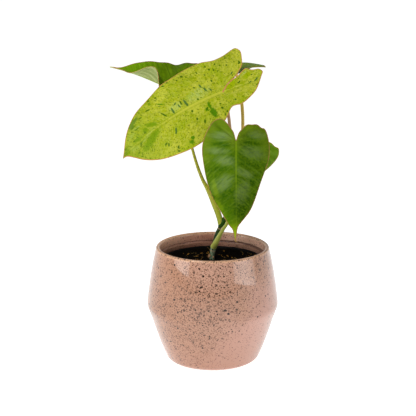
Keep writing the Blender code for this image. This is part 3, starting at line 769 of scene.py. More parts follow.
# %% Stem
STEM_X = -0.0008
STEM_Y = 0.009
STEM_RADIUS = 0.003
STEM_ROUTE = (
    ((STEM_X, STEM_Y, 0.0853), STEM_RADIUS),
    ((STEM_X, STEM_Y, 0.102), STEM_RADIUS),
    ((STEM_X, STEM_Y, 0.1185), STEM_RADIUS),
    ((-0.0004, 0.0094, 0.1258), 0.0029),
    ((0.0006, 0.0100, 0.1310), 0.0037),
    ((0.0022, 0.0102, 0.1362), 0.0031),
    ((0.0060, 0.0102, 0.1500), 0.0030),
    ((0.0090, 0.0100, 0.1570), 0.0029),
    ((0.0102, 0.0100, 0.1600), 0.0036),
    ((0.0127, 0.0100, 0.1645), 0.0033),
    ((0.0172, 0.0100, 0.1722), 0.0036),
    ((0.0184, 0.0100, 0.1750), 0.0034),
    ((0.0214, 0.0100, 0.1806), 0.0030),
    ((0.0229, 0.0100, 0.1835), 0.0033),
    ((0.0246, 0.0100, 0.1870), 0.0028),
    ((0.0256, 0.0100, 0.1896), 0.0025),
)
AERIAL_ROOTS = (
    ((-0.0014, 0.0076, 0.1242), (-0.0036, 0.0062, 0.1234), (-0.0050, 0.0052, 0.1212)),
    ((0.0000, 0.0078, 0.1232), (0.0009, 0.0062, 0.1224), (0.0012, 0.0054, 0.1210)),
    ((-0.0014, 0.0096, 0.1250), (-0.0040, 0.0092, 0.1238), (-0.0054, 0.0090, 0.1212)),
)
AERIAL_ROOT_RADII = (0.0009, 0.0008, 0.0005)
AERIAL_ROOT_COLORS = ((96, 92, 50), (164, 124, 90), (96, 66, 38), (60, 40, 24))
STEM_SIDES_AND_RINGS = (24, 160)
ROOT_SIDES_AND_RINGS = (12, 16)
NODE_SCARS = (0.405, 0.665, 0.80, 0.885)
BUD_SCAR = (0.0107, 0.0076, 0.1576)


def stem_material():
    """Dark green skin with pale streaks painted at the foot as highlights, and tan scars at the
    nodes.
    """
    made, net, place = new_material("green stem")
    along = net.attribute("along")
    lines = strands(net, 11.0, 2.0)
    body = net.cover(
        net.mix(net.step(lines, 0.35, 0.7), (8, 32, 0), (36, 72, 4)),
        # Painted highlight: pale streaks along the lines at the foot of the stem.
        (net.times(net.step(along, 0.48, 0.40), net.step(lines, 0.40, 0.60)), 0.8, (150, 166, 138)),
        (net.mask(specks, Vector=place, Scale=1100.0, Share=0.2, Size=0.4), 0.3, (96, 120, 70)),
    )
    ragged = net.plus(along, net.times(lines, 0.01))
    for scar in NODE_SCARS:
        off = net.math("ABSOLUTE", net.minus(ragged, scar))
        body = net.cover(body, (net.step(off, 0.009, 0.003), 0.8, (150, 128, 98)))
    away = net.add("ShaderNodeVectorMath", {"operation": "DISTANCE"}, n0=place, n1=BUD_SCAR)
    body = net.mix(net.step(away.outputs["Value"], 0.0013, 0.0008), body, (206, 158, 140))
    net.dress(
        Base_Color=body, Roughness=net.step(lines, 0.3, 0.7, 0.22, 0.38), Specular_IOR_Level=0.1,
        Normal=net.relief(lines, 0.3, 0.0003),
    )
    return made


stem_skin = stem_material()
root_skin = skin_material("aerial roots", *AERIAL_ROOT_COLORS, 0.7)
stem_places, stem_radii = zip(*STEM_ROUTE)
stem_parts = [swept("main_stem", stem_places, stem_radii, *STEM_SIDES_AND_RINGS, stem_skin)]
for i, route in enumerate(AERIAL_ROOTS):
    root = swept(f"aerial root {i}", route, AERIAL_ROOT_RADII, *ROOT_SIDES_AND_RINGS, root_skin)
    stem_parts.append(root)
stands_for(joined(stem_parts, "main_stem"), "stem")

# %% [markdown]
# ## Leaf blades
#
# A philodendron leaf is a heart with two lobes at the back, where the stalk joins, and a
# drawn-out tip. Every blade here follows the same rule with its own numbers: the midrib
# droops and swings, the halves fold up or down along it, and each half curls outwards to
# its margin. The same numbers gave the plain solids their shape.

# %% Leaf measures
MM = 0.001
FOLD_STATIONS = (-0.4, 0.0, 0.35, 0.7, 1.0)
LEAVES = {
    "leaf_a": {
        "base": (0.0117, 0.0, 0.3222),
        "tip": (-0.908, -0.286, -0.307),
        "face": (0.018, -0.757, 0.653),
        "length": 0.142, "half": 0.045, "droop": 14, "swing": 0.026,
        "fold": ((5, 5, 5, 4, 2), (6, 6, 5, 4, 2)),
        "curl": (-16, -14),
        "lobe_rise": 0.0,
        "waves": ((1, 0.0012, 2.2, 0.1), (-1, 0.0012, 2.6, 0.3)),
        "left": (
            (0, 0), (-4, -2.9), (-8.4, -6.3), (-16.8, -10.1), (-20.5, -10.9), (-24.7, -12.2),
            (-30.3, -15.2), (-37.8, -18), (-41.5, -14.2), (-45, -12.5), (-51, -11), (-54, -6),
            (-50, -1), (-37, 13), (-24, 20), (-13, 23.5), (-7, 22.5), (0, 23.5), (13, 35),
            (29, 42), (46, 45.5), (63, 46.5), (79, 43.5), (96, 37), (109, 29), (119, 20),
            (128, 9), (133, 3.5), (138, 1.5),
        ),
        "right": (
            (0, 0), (-4, -3.1), (-8.4, -6.5), (-11.8, -8.3), (-20.5, -11.8), (-26.5, -15.8),
            (-34, -21.9), (-37.2, -26.5), (-39.5, -32), (-42.5, -42), (-40, -49),
            (-35, -50), (-19, -45), (-6, -43.5), (9, -47.5), (27, -48.5), (48, -45),
            (63, -44), (84, -38), (103, -32), (116, -24.5), (125, -16), (133, -5), (138, 1.5),
        ),
        "rib_ends": ((-34, 2), (-24, -28)),
    },
    "leaf_b": {
        "base": (0.0263, -0.045, 0.2742),
        "tip": (0.0, -0.15, -0.985),
        "face": (0.0, -1.0, 0.15),
        "length": 0.1215, "half": 0.040, "droop": 14, "swing": 0.001,
        "fold": ((8, 8, 7, 5, 3), (8, 8, 7, 5, 3)),
        "curl": (-26, -26),
        "lobe_rise": -0.3,
        "waves": ((1, 0.0010, 3.2, 0.1), (-1, 0.0010, 2.8, 0.4)),
        "left": (
            (0, 0), (-8.5, 3), (-13, 7), (-17.6, 12), (-17.8, 18), (-17.8, 24), (-14, 29),
            (-12.5, 33), (-5, 36.3), (8.5, 38.5), (24, 37.2), (45, 29.5), (69, 21.3),
            (82, 15.3), (92, 7.8), (98.5, 2.9), (104, 1), (112, -0.1), (121.5, -1.4),
        ),
        "right": (
            (0, 0), (-9, -2.6), (-14, -6), (-21.5, -12), (-24.5, -17.5), (-22, -25),
            (-15, -30.5), (-4, -36), (7, -38.8), (20, -38.4), (45, -34), (66, -27),
            (87, -14.7), (97, -9.2), (103, -4.7), (110, -2.9), (121.5, -1.4),
        ),
        "rib_ends": ((-9, 19), (-12, -18)),
    },
    "leaf_c": {
        "base": (-0.0345, 0.055, 0.3105),
        "tip": (-0.872, 0.294, 0.391),
        "face": (0.299, -0.313, 0.902),
        "length": 0.100, "half": 0.045, "droop": 15, "swing": 0.0,
        "fold": ((-3, -3, 53, 24, 20), (42, 44, 20, 26, 24)),
        "curl": (-10, -10),
        "lobe_rise": 0.0,
        "waves": ((-1, 0.0009, 5.2, 0.1), (1, 0.0008, 2.5, 0.1)),
        "left": (
            (0, 0), (-6, 2.7), (-14, 7.2), (-22, 15), (-24.5, 23.5), (-19, 33), (-7, 40.5),
            (7, 44.3), (19, 44.6), (33, 41), (46, 35), (60, 26), (73, 16), (84, 4.6),
            (90, 1.3), (95, 0.8), (100, 0),
        ),
        "right": (
            (0, 0), (-6, -2.7), (-14, -7.2), (-21, -15), (-23, -23.5), (-18, -33), (-7, -40.5),
            (7, -44.3), (19, -44.6), (33, -41), (46, -35), (60, -26), (73, -16), (84, -4.6),
            (90, -1.3), (95, -0.8), (100, 0),
        ),
        "rib_ends": ((-13, 20), (-13, -20)),
    },
    "leaf_d": {
        "base": (0.0275, 0.045, 0.3388),
        "tip": (0.47, 0.871, 0.143),
        "face": (-0.17, -0.35, 0.92),
        "length": 0.079, "half": 0.027, "droop": 23, "swing": 0.0,
        "fold": ((6, 6, 4, 8, 2), (23, 23, 10, -6, -2)),
        "curl": (-10, -10),
        "lobe_rise": 0.0,
        "waves": (),
        "left": (
            (0, 0), (-5, 1.6), (-13, 4.5), (-19, 9), (-21, 14.5), (-17, 20.5), (-7, 24.7),
            (5, 26.7), (15, 27), (26, 25), (37, 21), (48, 15.7), (58, 9.5), (66, 4),
            (72, 1.5), (79, 0),
        ),
        "right": (
            (0, 0), (-5, -1.6), (-13, -4.0), (-18, -7.6), (-19.5, -12.0), (-16, -17.0), (-7, -20.5),
            (5, -22.8), (15, -24.2), (26, -24.2), (37, -21), (48, -15.7), (58, -9.5), (66, -4),
            (72, -1.5), (79, 0),
        ),
        "rib_ends": ((-11, 12), (-11, -12)),
    },
    "leaf_e": {
        "base": (0.0512, -0.010, 0.2638),
        "tip": (-0.5, -0.12, -0.86),
        "face": (0.0, -1.0, 0.2),
        "length": 0.078, "half": 0.029, "droop": 10, "swing": 0.0,
        "fold": ((5, 5, 5, 5, 3), (-22, -22, -15, -6, 0)),
        "curl": (-15, -24),
        "lobe_rise": 0.0,
        "waves": (),
        "left": (
            (0, 0), (-4, 3), (-7.2, 8), (-8.6, 14), (-7.2, 20), (-7.2, 25), (-1.5, 28.6),
            (5, 29.3), (14, 27.6), (23, 24.6), (37, 18.5), (52, 9.5), (63, 3.8), (71, 1.8),
            (78, 0),
        ),
        "right": (
            (0, 0), (-4, -3), (-7, -8), (-7, -14), (-3.5, -19.5), (3, -23.4), (10, -24.6),
            (17, -24.2), (25, -22.3), (37, -17.6), (52, -9.5), (63, -3.8), (71, -1.8),
            (78, 0),
        ),
        "rib_ends": ((-3, 15), (-2, -12)),
    },
}
print("leaves:", {name: f"{1000 * leaf['length']:.0f} mm" for name, leaf in LEAVES.items()})


# %% Leaf rule
RULE_REACH = 1.1
RULE_STEP = 0.01
DROOP_POWER = 1.3


def unit(vector):
    vector = np.asarray(vector, float)
    return vector / np.linalg.norm(vector)


def leaf_frame(leaf):
    """Unit vectors along the midrib, to its left and out of the upper face."""
    along = unit(leaf["tip"])
    face = np.asarray(leaf["face"], float)
    face = unit(face - along * (face @ along))
    return along, np.cross(face, along), face


def eased(share, values):
    """Values given at the fold stations, joined by smooth steps."""
    stations = np.asarray(FOLD_STATIONS)
    values = np.asarray(values, float)
    share = np.clip(share, stations[0], stations[-1])
    index = np.clip(np.searchsorted(stations, share, side="right") - 1, 0, len(stations) - 2)
    step = (share - stations[index]) / (stations[index + 1] - stations[index])
    step = step * step * (3 - 2 * step)
    return values[index] * (1 - step) + values[index + 1] * step


def leaf_surface(leaf, along_mm, across_mm):
    """Points of the upper face at distances along the midrib and across it."""
    along, left, face = leaf_frame(leaf)
    u = np.asarray(along_mm, float) * MM
    v = np.asarray(across_mm, float) * MM
    length = leaf["length"]
    share = u / length
    marks = np.linspace(0.0, RULE_REACH, round(RULE_REACH / RULE_STEP) + 1)
    bend = np.radians(leaf["droop"]) * marks**DROOP_POWER
    middle = (bend[1:] + bend[:-1]) / 2
    run = np.concatenate([[0.0], np.cumsum(np.cos(middle))]) * length * RULE_STEP
    drop = np.concatenate([[0.0], np.cumsum(np.sin(middle))]) * length * RULE_STEP
    ahead = np.clip(share, 0.0, RULE_REACH)
    rib_x = np.interp(ahead, marks, run) + np.minimum(u, 0.0)
    rib_z = -np.interp(ahead, marks, drop)
    rib_y = leaf["swing"] * ahead**2
    turn = np.radians(leaf["droop"]) * ahead**DROOP_POWER
    up = np.cos(turn)[..., None] * face + np.sin(turn)[..., None] * along
    is_left = v >= 0
    away = np.abs(v)
    folds = [eased(share, values) for values in leaf["fold"]]
    fold = np.radians(np.where(is_left, *folds))
    curl = np.radians(np.where(is_left, *leaf["curl"])) / leaf["half"]
    side = (np.sin(fold + curl * away) - np.sin(fold)) / curl
    rise = (np.cos(fold) - np.cos(fold + curl * away)) / curl
    for half_side, height, count, start in leaf["waves"]:
        wave = np.sin(2 * np.pi * (count * share + start)) * (away / leaf["half"]) ** 2
        rise = rise + np.where(is_left == (half_side > 0), height, 0.0) * wave
    rise = rise + leaf["lobe_rise"] * np.minimum(share, 0.0) ** 2 * length
    rib = rib_x[..., None] * along + rib_z[..., None] * face + rib_y[..., None] * left
    across = np.where(is_left, side, -side)[..., None] * left
    return np.asarray(leaf["base"]) + rib + across + rise[..., None] * up


print("leaf rule: the midrib is followed to", RULE_REACH, "times its length")

# %% [markdown]
# The sheet of a blade is a net between the midrib and the margin, closer near both. Side
# veins leave the midrib at a slant and bend towards the tip; in the lobes they fan out
# from the notch. Each point of the net learns where on which vein it lies, how far it is
# from the midrib and how far from the margin, and the materials read those numbers.

# %% Leaf net
LOBE_COLUMNS = 26
BODY_COLUMNS = 84
ROWS = 22
FINER = {"leaf_a": 1.8, "leaf_b": 1.3}
VEIN_SLANT = 0.55
VEIN_BEND = 0.006
FAN_SPAN = 22.0
RIM_CROWDING = 0.12
TIP_CROWDING = 1.15
LOBE_SHARE = 0.12
BLOCK = 500


def outline_curve(points):
    """A smooth margin through its points, and the share of it walked at each point."""
    points = np.asarray(points, float)
    before, after = neighbours(points)
    slopes = (after - before) / 2
    curve = through(points, slopes[:-1], slopes[1:], 16)
    walked = np.concatenate([[0.0], np.cumsum(np.linalg.norm(np.diff(curve, axis=0), axis=1))])
    return curve, walked / walked[-1]


def body_marks(finer):
    return 1.0 - (1.0 - np.linspace(0.0, 1.0, round(BODY_COLUMNS * finer) + 1)) ** TIP_CROWDING


def margin_points(outline, rib_end, finer):
    lobe = round(LOBE_COLUMNS * finer) + 1
    curve, share = outline_curve(outline)
    off = curve - rib_end
    tail = (off @ rib_end / np.hypot(off[:, 0], off[:, 1])).argmax()
    on_body = (curve[:, 0] > LOBE_SHARE * curve[-1, 0]) & (np.arange(len(curve)) > tail)
    ahead = np.flatnonzero(on_body)[0]
    knots = np.concatenate(
        [
            np.linspace(0.0, share[tail], lobe),
            np.linspace(share[tail], share[ahead], lobe)[1:],
            share[ahead] + (1.0 - share[ahead]) * body_marks(finer)[1:],
        ]
    )
    return np.stack([np.interp(knots, share, curve[:, i]) for i in range(2)], axis=1), curve


def rib_points(rib_end, tip, finer):
    out = np.linspace((0.0, 0.0), rib_end, round(LOBE_COLUMNS * finer) + 1)
    on = body_marks(finer)[:, None] * np.asarray(tip, float)
    return np.vstack([out, out[::-1][1:], on[1:]])


def leaf_net(leaf, finer=1.0):
    """Flat points in mm, faces, and each point's distance to the margin."""
    rows = round(ROWS * finer)
    shares = np.linspace(0.0, 1.0, rows + 1)
    shares = shares - RIM_CROWDING * np.sin(2 * np.pi * shares) / (2 * np.pi)
    places = {}
    flat = []
    faces = []
    curves = []

    def spot(point):
        key = (round(float(point[0]), 3), round(float(point[1]), 3))
        if key not in places:
            places[key] = len(flat)
            flat.append(point)
        return places[key]

    for turn, outline, rib_end in zip((1, -1), (leaf["left"], leaf["right"]), leaf["rib_ends"]):
        margin, curve = margin_points(outline, np.array(rib_end, float), finer)
        curves.append(curve)
        ribs = rib_points(rib_end, outline[-1], finer)
        grid = [
            [spot(inner + (outer - inner) * share) for share in shares]
            for inner, outer in zip(ribs, margin)
        ]
        for first, second in zip(grid, grid[1:]):
            for i in range(rows):
                corners = [first[i], first[i + 1], second[i + 1], second[i]]
                corners = [c for k, c in enumerate(corners) if c not in corners[:k]]
                if len(corners) > 2:
                    faces.append(corners[::-1] if turn > 0 else corners)
    flat = np.asarray(flat)
    rim = np.vstack(curves)
    edge = np.empty(len(flat))
    for start in range(0, len(flat), BLOCK):
        block = flat[start : start + BLOCK]
        edge[start : start + BLOCK] = np.linalg.norm(block[:, None] - rim[None], axis=2).min(axis=1)
    return flat, faces, edge


def vein_map(flat):
    """Where the vein through each point leaves the midrib, and how far out the point is."""
    u = flat[:, 0]
    away = np.abs(flat[:, 1])
    start = u - VEIN_SLANT * away - VEIN_BEND * away**2
    angle = np.arctan2(away, u)
    fan = math.atan2(1.0, VEIN_SLANT)
    in_fan = start < 0
    start = np.where(in_fan, (fan - angle) * FAN_SPAN, start)
    return start, np.hypot(u * in_fan + (u - start) * ~in_fan, away)


flat_c, faces_c, _ = leaf_net(LEAVES["leaf_c"])
print("net of one leaf:", len(flat_c), "points,", len(faces_c), "faces")

# %% [markdown]
# Two leaves carry placed marks. The youngest has dark and bluish dashes, fresh green
# blots and pale smears; the one in front has pale patches of painted sheen, darker
# patches of painted shade and fresher patches. Each mark is an oval on the flat leaf: its
# place and its two half lengths in mm, and its turn in degrees. The net stores how deep
# inside the ovals of a kind a point lies.

# %% Marks
MARKS = {
    "leaf_a": {
        "dark": (
            (35, -40.8, 1.8, 1.4, -36), (42.2, -38.7, 1.4, 0.9, -59), (59.7, -41.2, 2, 1, -26),
            (65, -43.1, 1.5, 1.1, 12), (73.9, -33.5, 1.7, 0.9, -34), (82.9, -35.7, 1.8, 1.1, 13),
            (88.4, -25.5, 3.3, 1, -13), (50.3, -10.2, 3.2, 1, -87), (73.9, -8.4, 5.8, 0.8, -60),
            (100, -23, 2.4, 1, -5), (109.1, -14.4, 3.2, 0.9, -7), (102.3, -4.1, 1.8, 1.2, -47),
            (118.2, -4.4, 1.7, 0.9, -31), (118.4, 11.2, 1.7, 1.2, 2), (130.3, -4.2, 2, 1.1, -13),
            (116.8, 17.6, 1.4, 0.8, -45), (110.1, 25.8, 1.4, 0.8, -43), (87, 24.3, 2.1, 1.2, 26),
            (84.4, 27.2, 2.1, 1.1, 66), (75.8, 36.3, 2.2, 1, 47), (77.1, 40.8, 1.7, 1, -40),
            (42.8, 6.7, 1.6, 1.3, 81), (41.9, 18.3, 1.8, 1.2, 67), (35.2, 25.8, 2.3, 1, 65),
            (30.3, -3.9, 1.4, 1.2, -36), (27.9, -19.2, 1.7, 0.9, -54), (5, -38.8, 1.3, 1.2, -87),
            (2.2, -33.6, 1.4, 1.3, 81), (17.2, -36.9, 2.3, 0.8, -83), (53.8, -42.1, 1.2, 1, -61),
            (30.4, -37.3, 1.1, 1, -77), (9.8, 19.4, 1.7, 1.3, -56), (9.5, 13.6, 1.2, 0.9, -26),
            (26.1, 12.2, 1.8, 1, 66), (34.6, 24.7, 1.8, 1, 65), (6.2, -18.4, 1.9, 0.8, -85),
            (-34.4, -29.9, 1.1, 1, -31), (-6.8, -37.5, 1.2, 1.1, 60), (-18.9, -30.9, 1.1, 0.9, 59),
            (-5.8, -27.3, 1, 0.9, 60), (-22.5, -4, 2.3, 0.8, 28), (-8.8, 15.5, 1.2, 1.2, 8),
            (6.4, 26, 1.4, 1, 64), (112, -19.2, 3.6, 1.1, 8), (133, 0, 3.4, 1.7, 0),
        ),
        "blue": (
            (45, -6.4, 5.2, 1.3, -80), (56.8, -12.6, 2.3, 0.9, 33), (53.5, -7.2, 2.9, 0.8, -74),
            (62.6, -6.3, 4.4, 1.1, -87), (110.1, -24.1, 7.8, 2.2, 16), (113.1, -20.2, 2.7, 1, 17),
            (111.5, 3.2, 2.4, 1.2, 25), (69.7, 17.7, 3.9, 1.1, 68), (17.6, -11.3, 3.2, 1.1, -77),
            (21, -18, 3.1, 0.8, -80), (11.8, -8, 2.4, 0.9, -86), (6.1, -18.4, 2.1, 0.8, -85),
            (-19.9, -18.4, 2.2, 0.8, 40), (-42, 0.6, 3.2, 0.9, 31), (-34.2, 1.1, 2.7, 0.7, 26),
        ),
        "fresh": (
            (99.5, 8.3, 13.6, 4.6, 23), (91.7, -7.3, 6.4, 2.2, -31), (113.9, -3.2, 4.8, 2.1, -21),
            (130, 0, 4, 2.8, 0), (56, 35.7, 2.1, 2, -57), (59.1, 39.7, 2.6, 2.3, -41),
            (72.1, -22.6, 4.7, 0.8, -37), (83.5, -31, 2, 1.2, -46), (26.5, 13.1, 2.2, 1.6, 68),
            (100.8, -6.2, 3.2, 2.4, -28), (21.2, 20.2, 6.2, 3.3, -82), (22, 10, 4.9, 1.4, 89),
            (-11.5, -4.8, 7.9, 3.9, 17), (-35.3, -8.5, 5.5, 2.6, 27),
        ),
        "pale": (
            (100.1, 0.9, 12.3, 2.4, 17), (122.6, 2.2, 8.2, 3.2, -33), (118.2, -12.1, 6.3, 2.4, 16),
            (108.3, -16.1, 6.8, 1.2, -7), (-32.6, -12.4, 6.9, 1.6, 30), (28, -10, 16, 7, 5),
            (58, -9, 9, 5, 0),
        ),
    },
    "leaf_b": {
        # Painted sheen: pale grey-green patches between the side veins.
        "pale": (
            (-4.7, -16.8, 10.2, 4.1, 85), (23, -12, 9.2, 4.4, 85), (49.5, -15.4, 10.8, 6.1, -59),
            (14.3, 19.2, 11.3, 5.4, 75), (37.2, 9.5, 8.8, 3.7, 68), (59.4, 7, 11.4, 6, -15),
            (-6.1, 24.1, 7.9, 4.4, 80), (12.3, -20.7, 10.7, 2.9, -90),
        ),
        # Painted shade: darker green in the valleys between the puckers.
        "dark": (
            (5, -13.9, 11.7, 2.5, 85), (32.8, -18.8, 14.7, 3.1, -85), (28.4, 17.3, 12.7, 2.9, 78),
            (45.6, 19.2, 6.9, 5.9, 44), (61.4, -11.1, 8.9, 4.9, -44), (78.4, 2.5, 13.1, 7.8, -20),
            (81.4, -11.2, 11.1, 5.9, -20), (3.6, 11.4, 8.7, 2.9, 85),
        ),
        "fresh": (
            (55.6, -23.8, 8.9, 2.6, 11), (75.4, -18.6, 8.9, 2.4, 29), (104.8, -1.6, 12.3, 4.4, -5),
            (-13.9, 15.3, 6.8, 1.9, -82),
        ),
    },
}


def mark_depth(flat, ovals):
    """Two at the heart of an oval, one on its rim and zero well outside."""
    depth = np.zeros(len(flat))
    for u, v, length, width, turn in ovals:
        angle = math.radians(turn)
        off = flat - (u, v)
        along = (off[:, 0] * math.cos(angle) + off[:, 1] * math.sin(angle)) / length
        across = (off[:, 1] * math.cos(angle) - off[:, 0] * math.sin(angle)) / width
        depth = np.maximum(depth, 2.0 - np.hypot(along, across))
    return depth


print("marks:", {name: sum(map(len, kinds.values())) for name, kinds in MARKS.items()})

# %% [markdown]
# A living blade isn't flat between its veins: it puffs up a little, and the veins lie in
# shallow channels. That relief is pushed into the net before the blade gets its wall.
# The wall is a Solidify modifier, thickest along the midrib on the underside.

# %% Blades
BLADE_THICKNESS = 0.0008
RIB_THICKNESS = 0.0026
RIB_LOSS = 0.0015
TIP_REACH = 5.5
TIP_SHORTENED = 0.6
CURLED_TIPS = {"leaf_b": (115.5, 4.6)}
NOWHERE = (1000.0, 0.0)
CHANNEL_DEPTH = 0.0005
OTHER_SIDE_SHIFT = 0.45
WANDER = 0.11
RELIEF = {
    "leaf_a": (7.5, 0.00006), "leaf_b": (11.5, 0.00055), "leaf_c": (8.0, 0.0003),
    "leaf_d": (7.0, 0.0003), "leaf_e": (8.0, 0.0004),
}


def relief(leaf, name, flat, start, out, edge):
    """Height of the puffed surface above the plain rule, in metres."""
    pitch, height = RELIEF[name]
    side = np.where(flat[:, 1] >= 0, 0.0, OTHER_SIDE_SHIFT)
    wander = WANDER * np.sin(0.31 * start + 2.0 * side)
    wave = np.cos(2 * np.pi * (start / pitch + side + wander))
    puff = -height * wave * np.clip(out / 9.0, 0, 1) * np.clip(edge / 6.0, 0, 1)
    ahead = np.clip(1.0 - flat[:, 0] * MM / leaf["length"], 0.0, 1.0)
    on_body = np.clip((flat[:, 0] + 3.0) / 3.0, 0, 1)
    channel = CHANNEL_DEPTH * np.exp(-((flat[:, 1] / 1.3) ** 2)) * (0.35 + 0.65 * ahead) * on_body
    return puff - channel


def store(mesh, name, values):
    made = mesh.attributes.new(name, "FLOAT", "POINT")
    made.data.foreach_set("value", np.asarray(values, np.float32))


def wall_weights(leaf, flat):
    """Share of the midrib's thickness that the wall has at each point of a leaf."""
    share = np.clip(flat[:, 0] * MM / leaf["length"], 0.0, 1.0)
    rib = 1.0 - RIB_LOSS / RIB_THICKNESS * share**0.7
    thin = BLADE_THICKNESS / RIB_THICKNESS
    close = np.exp(-((flat[:, 1] / 1.6) ** 2)) * np.clip((flat[:, 0] + 2.0) / 2.0, 0, 1)
    return thin + (rib - thin) * close


def blade(name, finish):
    """A finished blade: its net bent into shape, puffed up, marked, and given a wall."""
    leaf = LEAVES[name]
    flat, faces, edge = leaf_net(leaf, FINER.get(name, 1.0))
    start, out = vein_map(flat)
    first, side = CURLED_TIPS.get(name, NOWHERE)
    hook = np.clip((flat[:, 0] - first) / TIP_REACH, 0.0, 1.0) ** 2
    points = leaf_surface(leaf, flat[:, 0] - TIP_SHORTENED * hook, flat[:, 1] + side * hook)
    mesh = bpy.data.meshes.new(name)
    mesh.from_pydata([tuple(point) for point in points], [], faces)
    mesh.update()
    normals = np.empty(points.size)
    mesh.vertices.foreach_get("normal", normals)
    points = points + normals.reshape(-1, 3) * relief(leaf, name, flat, start, out, edge)[:, None]
    mesh.vertices.foreach_set("co", points.ravel())
    store(mesh, "vein_start", start)
    store(mesh, "vein_out", out)
    store(mesh, "edge", edge)
    store(mesh, "leaf_u", flat[:, 0])
    store(mesh, "leaf_v", flat[:, 1])
    for kind, ovals in MARKS.get(name, {}).items():
        store(mesh, "mark_" + kind, mark_depth(flat, ovals))
    mesh.materials.append(finish)
    mesh.polygons.foreach_set("use_smooth", [True] * len(mesh.polygons))
    work = placed(name + " sheet", mesh)
    group = work.vertex_groups.new(name="thickness")
    for index, weight in enumerate(wall_weights(leaf, flat)):
        group.add([index], float(weight), "REPLACE")
    wall = work.modifiers.new("wall", "SOLIDIFY")
    wall.thickness = RIB_THICKNESS
    wall.offset = -1.0
    wall.vertex_group = group.name
    wall.thickness_vertex_group = 0.0
    made = baked(work, name.replace("leaf", "blade"))
    store(made.data, "under", np.arange(len(made.data.vertices)) >= len(flat))
    stands_for(made, name)


print("relief in mm:", {name: height / MM for name, (pitch, height) in RELIEF.items()})

# %% [markdown]
# ## Leaf colours
#
# Each leaf's material starts from the same plan. The upper face has a base green, fine
# lines along the side veins, a paler midrib and a thin coloured margin. The underside is
# paler and duller. The youngest leaf adds mottling, dark green specks and dashes that
# follow the veins, and painted shade beside its midrib. The one in front adds its patches,
# painted sheen and painted shade among them, and painted shade over one half and towards
# its tip. The folded one is a brighter green towards its tip.

# %% Leaf material
def leaf_material(name, length, looks, marks):
    """A leaf's finish: both faces, veins, midrib, margin, and the marks of its own."""
    made, net, place = new_material(name)
    keys = ("vein_start", "vein_out", "leaf_u", "leaf_v", "edge", "under")
    start, out, u, v, edge, under = (net.attribute(key) for key in keys)
    rib = net.math("ABSOLUTE", v)
    veins = net.add("ShaderNodeCombineXYZ", X=start, Y=out).outputs[0]
    lines = net.noise(net.stretch(veins, (1.3, 0.05, 1.0)), 1.0, 4.0, 0.6)
    broad = net.noise(net.stretch(veins, (0.16, 0.045, 1.0)), 1.0)
    body = net.cover(
        net.mix(net.step(broad, 0.3, 0.7), looks["dark"], looks["light"]),
        (net.step(net.noise(place, 45.0), 0.45, 0.75), 0.55, looks["cloud"]),
        (net.step(lines, 0.45, 0.75), 0.45, looks["lines"]),
    )
    if marks:
        body = marks(net, body, place, veins, u, v, edge)
    wide = looks.get("rib_width", 1.0)
    width = net.step(u, 0.0, length, wide, 0.35 * wide)
    midrib = net.times(net.step(net.math("DIVIDE", rib, width), 1.9, 0.8), net.step(u, -3.0, 1.0))
    faded = net.step(u, *looks.get("rib_fade", (200.0, 300.0)), 1.0, 0.3)
    rim = net.step(net.plus(edge, net.times(net.noise(place, 300.0, 2.0), 0.5)), 1.35, 0.75)
    body = net.cover(
        body,
        (net.times(midrib, faded), looks.get("rib_share", 0.8), looks["rib"]),
        (rim, 1.0, looks["margin"]),
    )
    if "tip" in looks:
        body = net.cover(body, (net.step(u, length - 8.0, length - 3.0), 0.85, looks["tip"]))
    stripes = net.noise(net.stretch(veins, (0.5, 0.02, 1.0)), 1.0, 2.0)
    back = net.mix(net.step(stripes, 0.38, 0.62, 0.2, 0.72), looks["under"], looks["under_lines"])
    back = net.cover(back, (midrib, 0.6, looks["rib"]))
    height = net.plus(net.times(lines, 0.6), net.times(net.noise(place, 700.0, 2.0), 0.25))
    net.dress(
        Base_Color=net.mix(under, body, back),
        Roughness=net.plus(net.step(lines, 0.3, 0.7, 0.30, 0.40), net.times(under, 0.22)),
        Specular_IOR_Level=looks.get("gloss", 0.12),
        Normal=net.relief(height, 0.35, 0.0004),
    )
    return made


print("a leaf's finish is made by:", leaf_material.__name__)


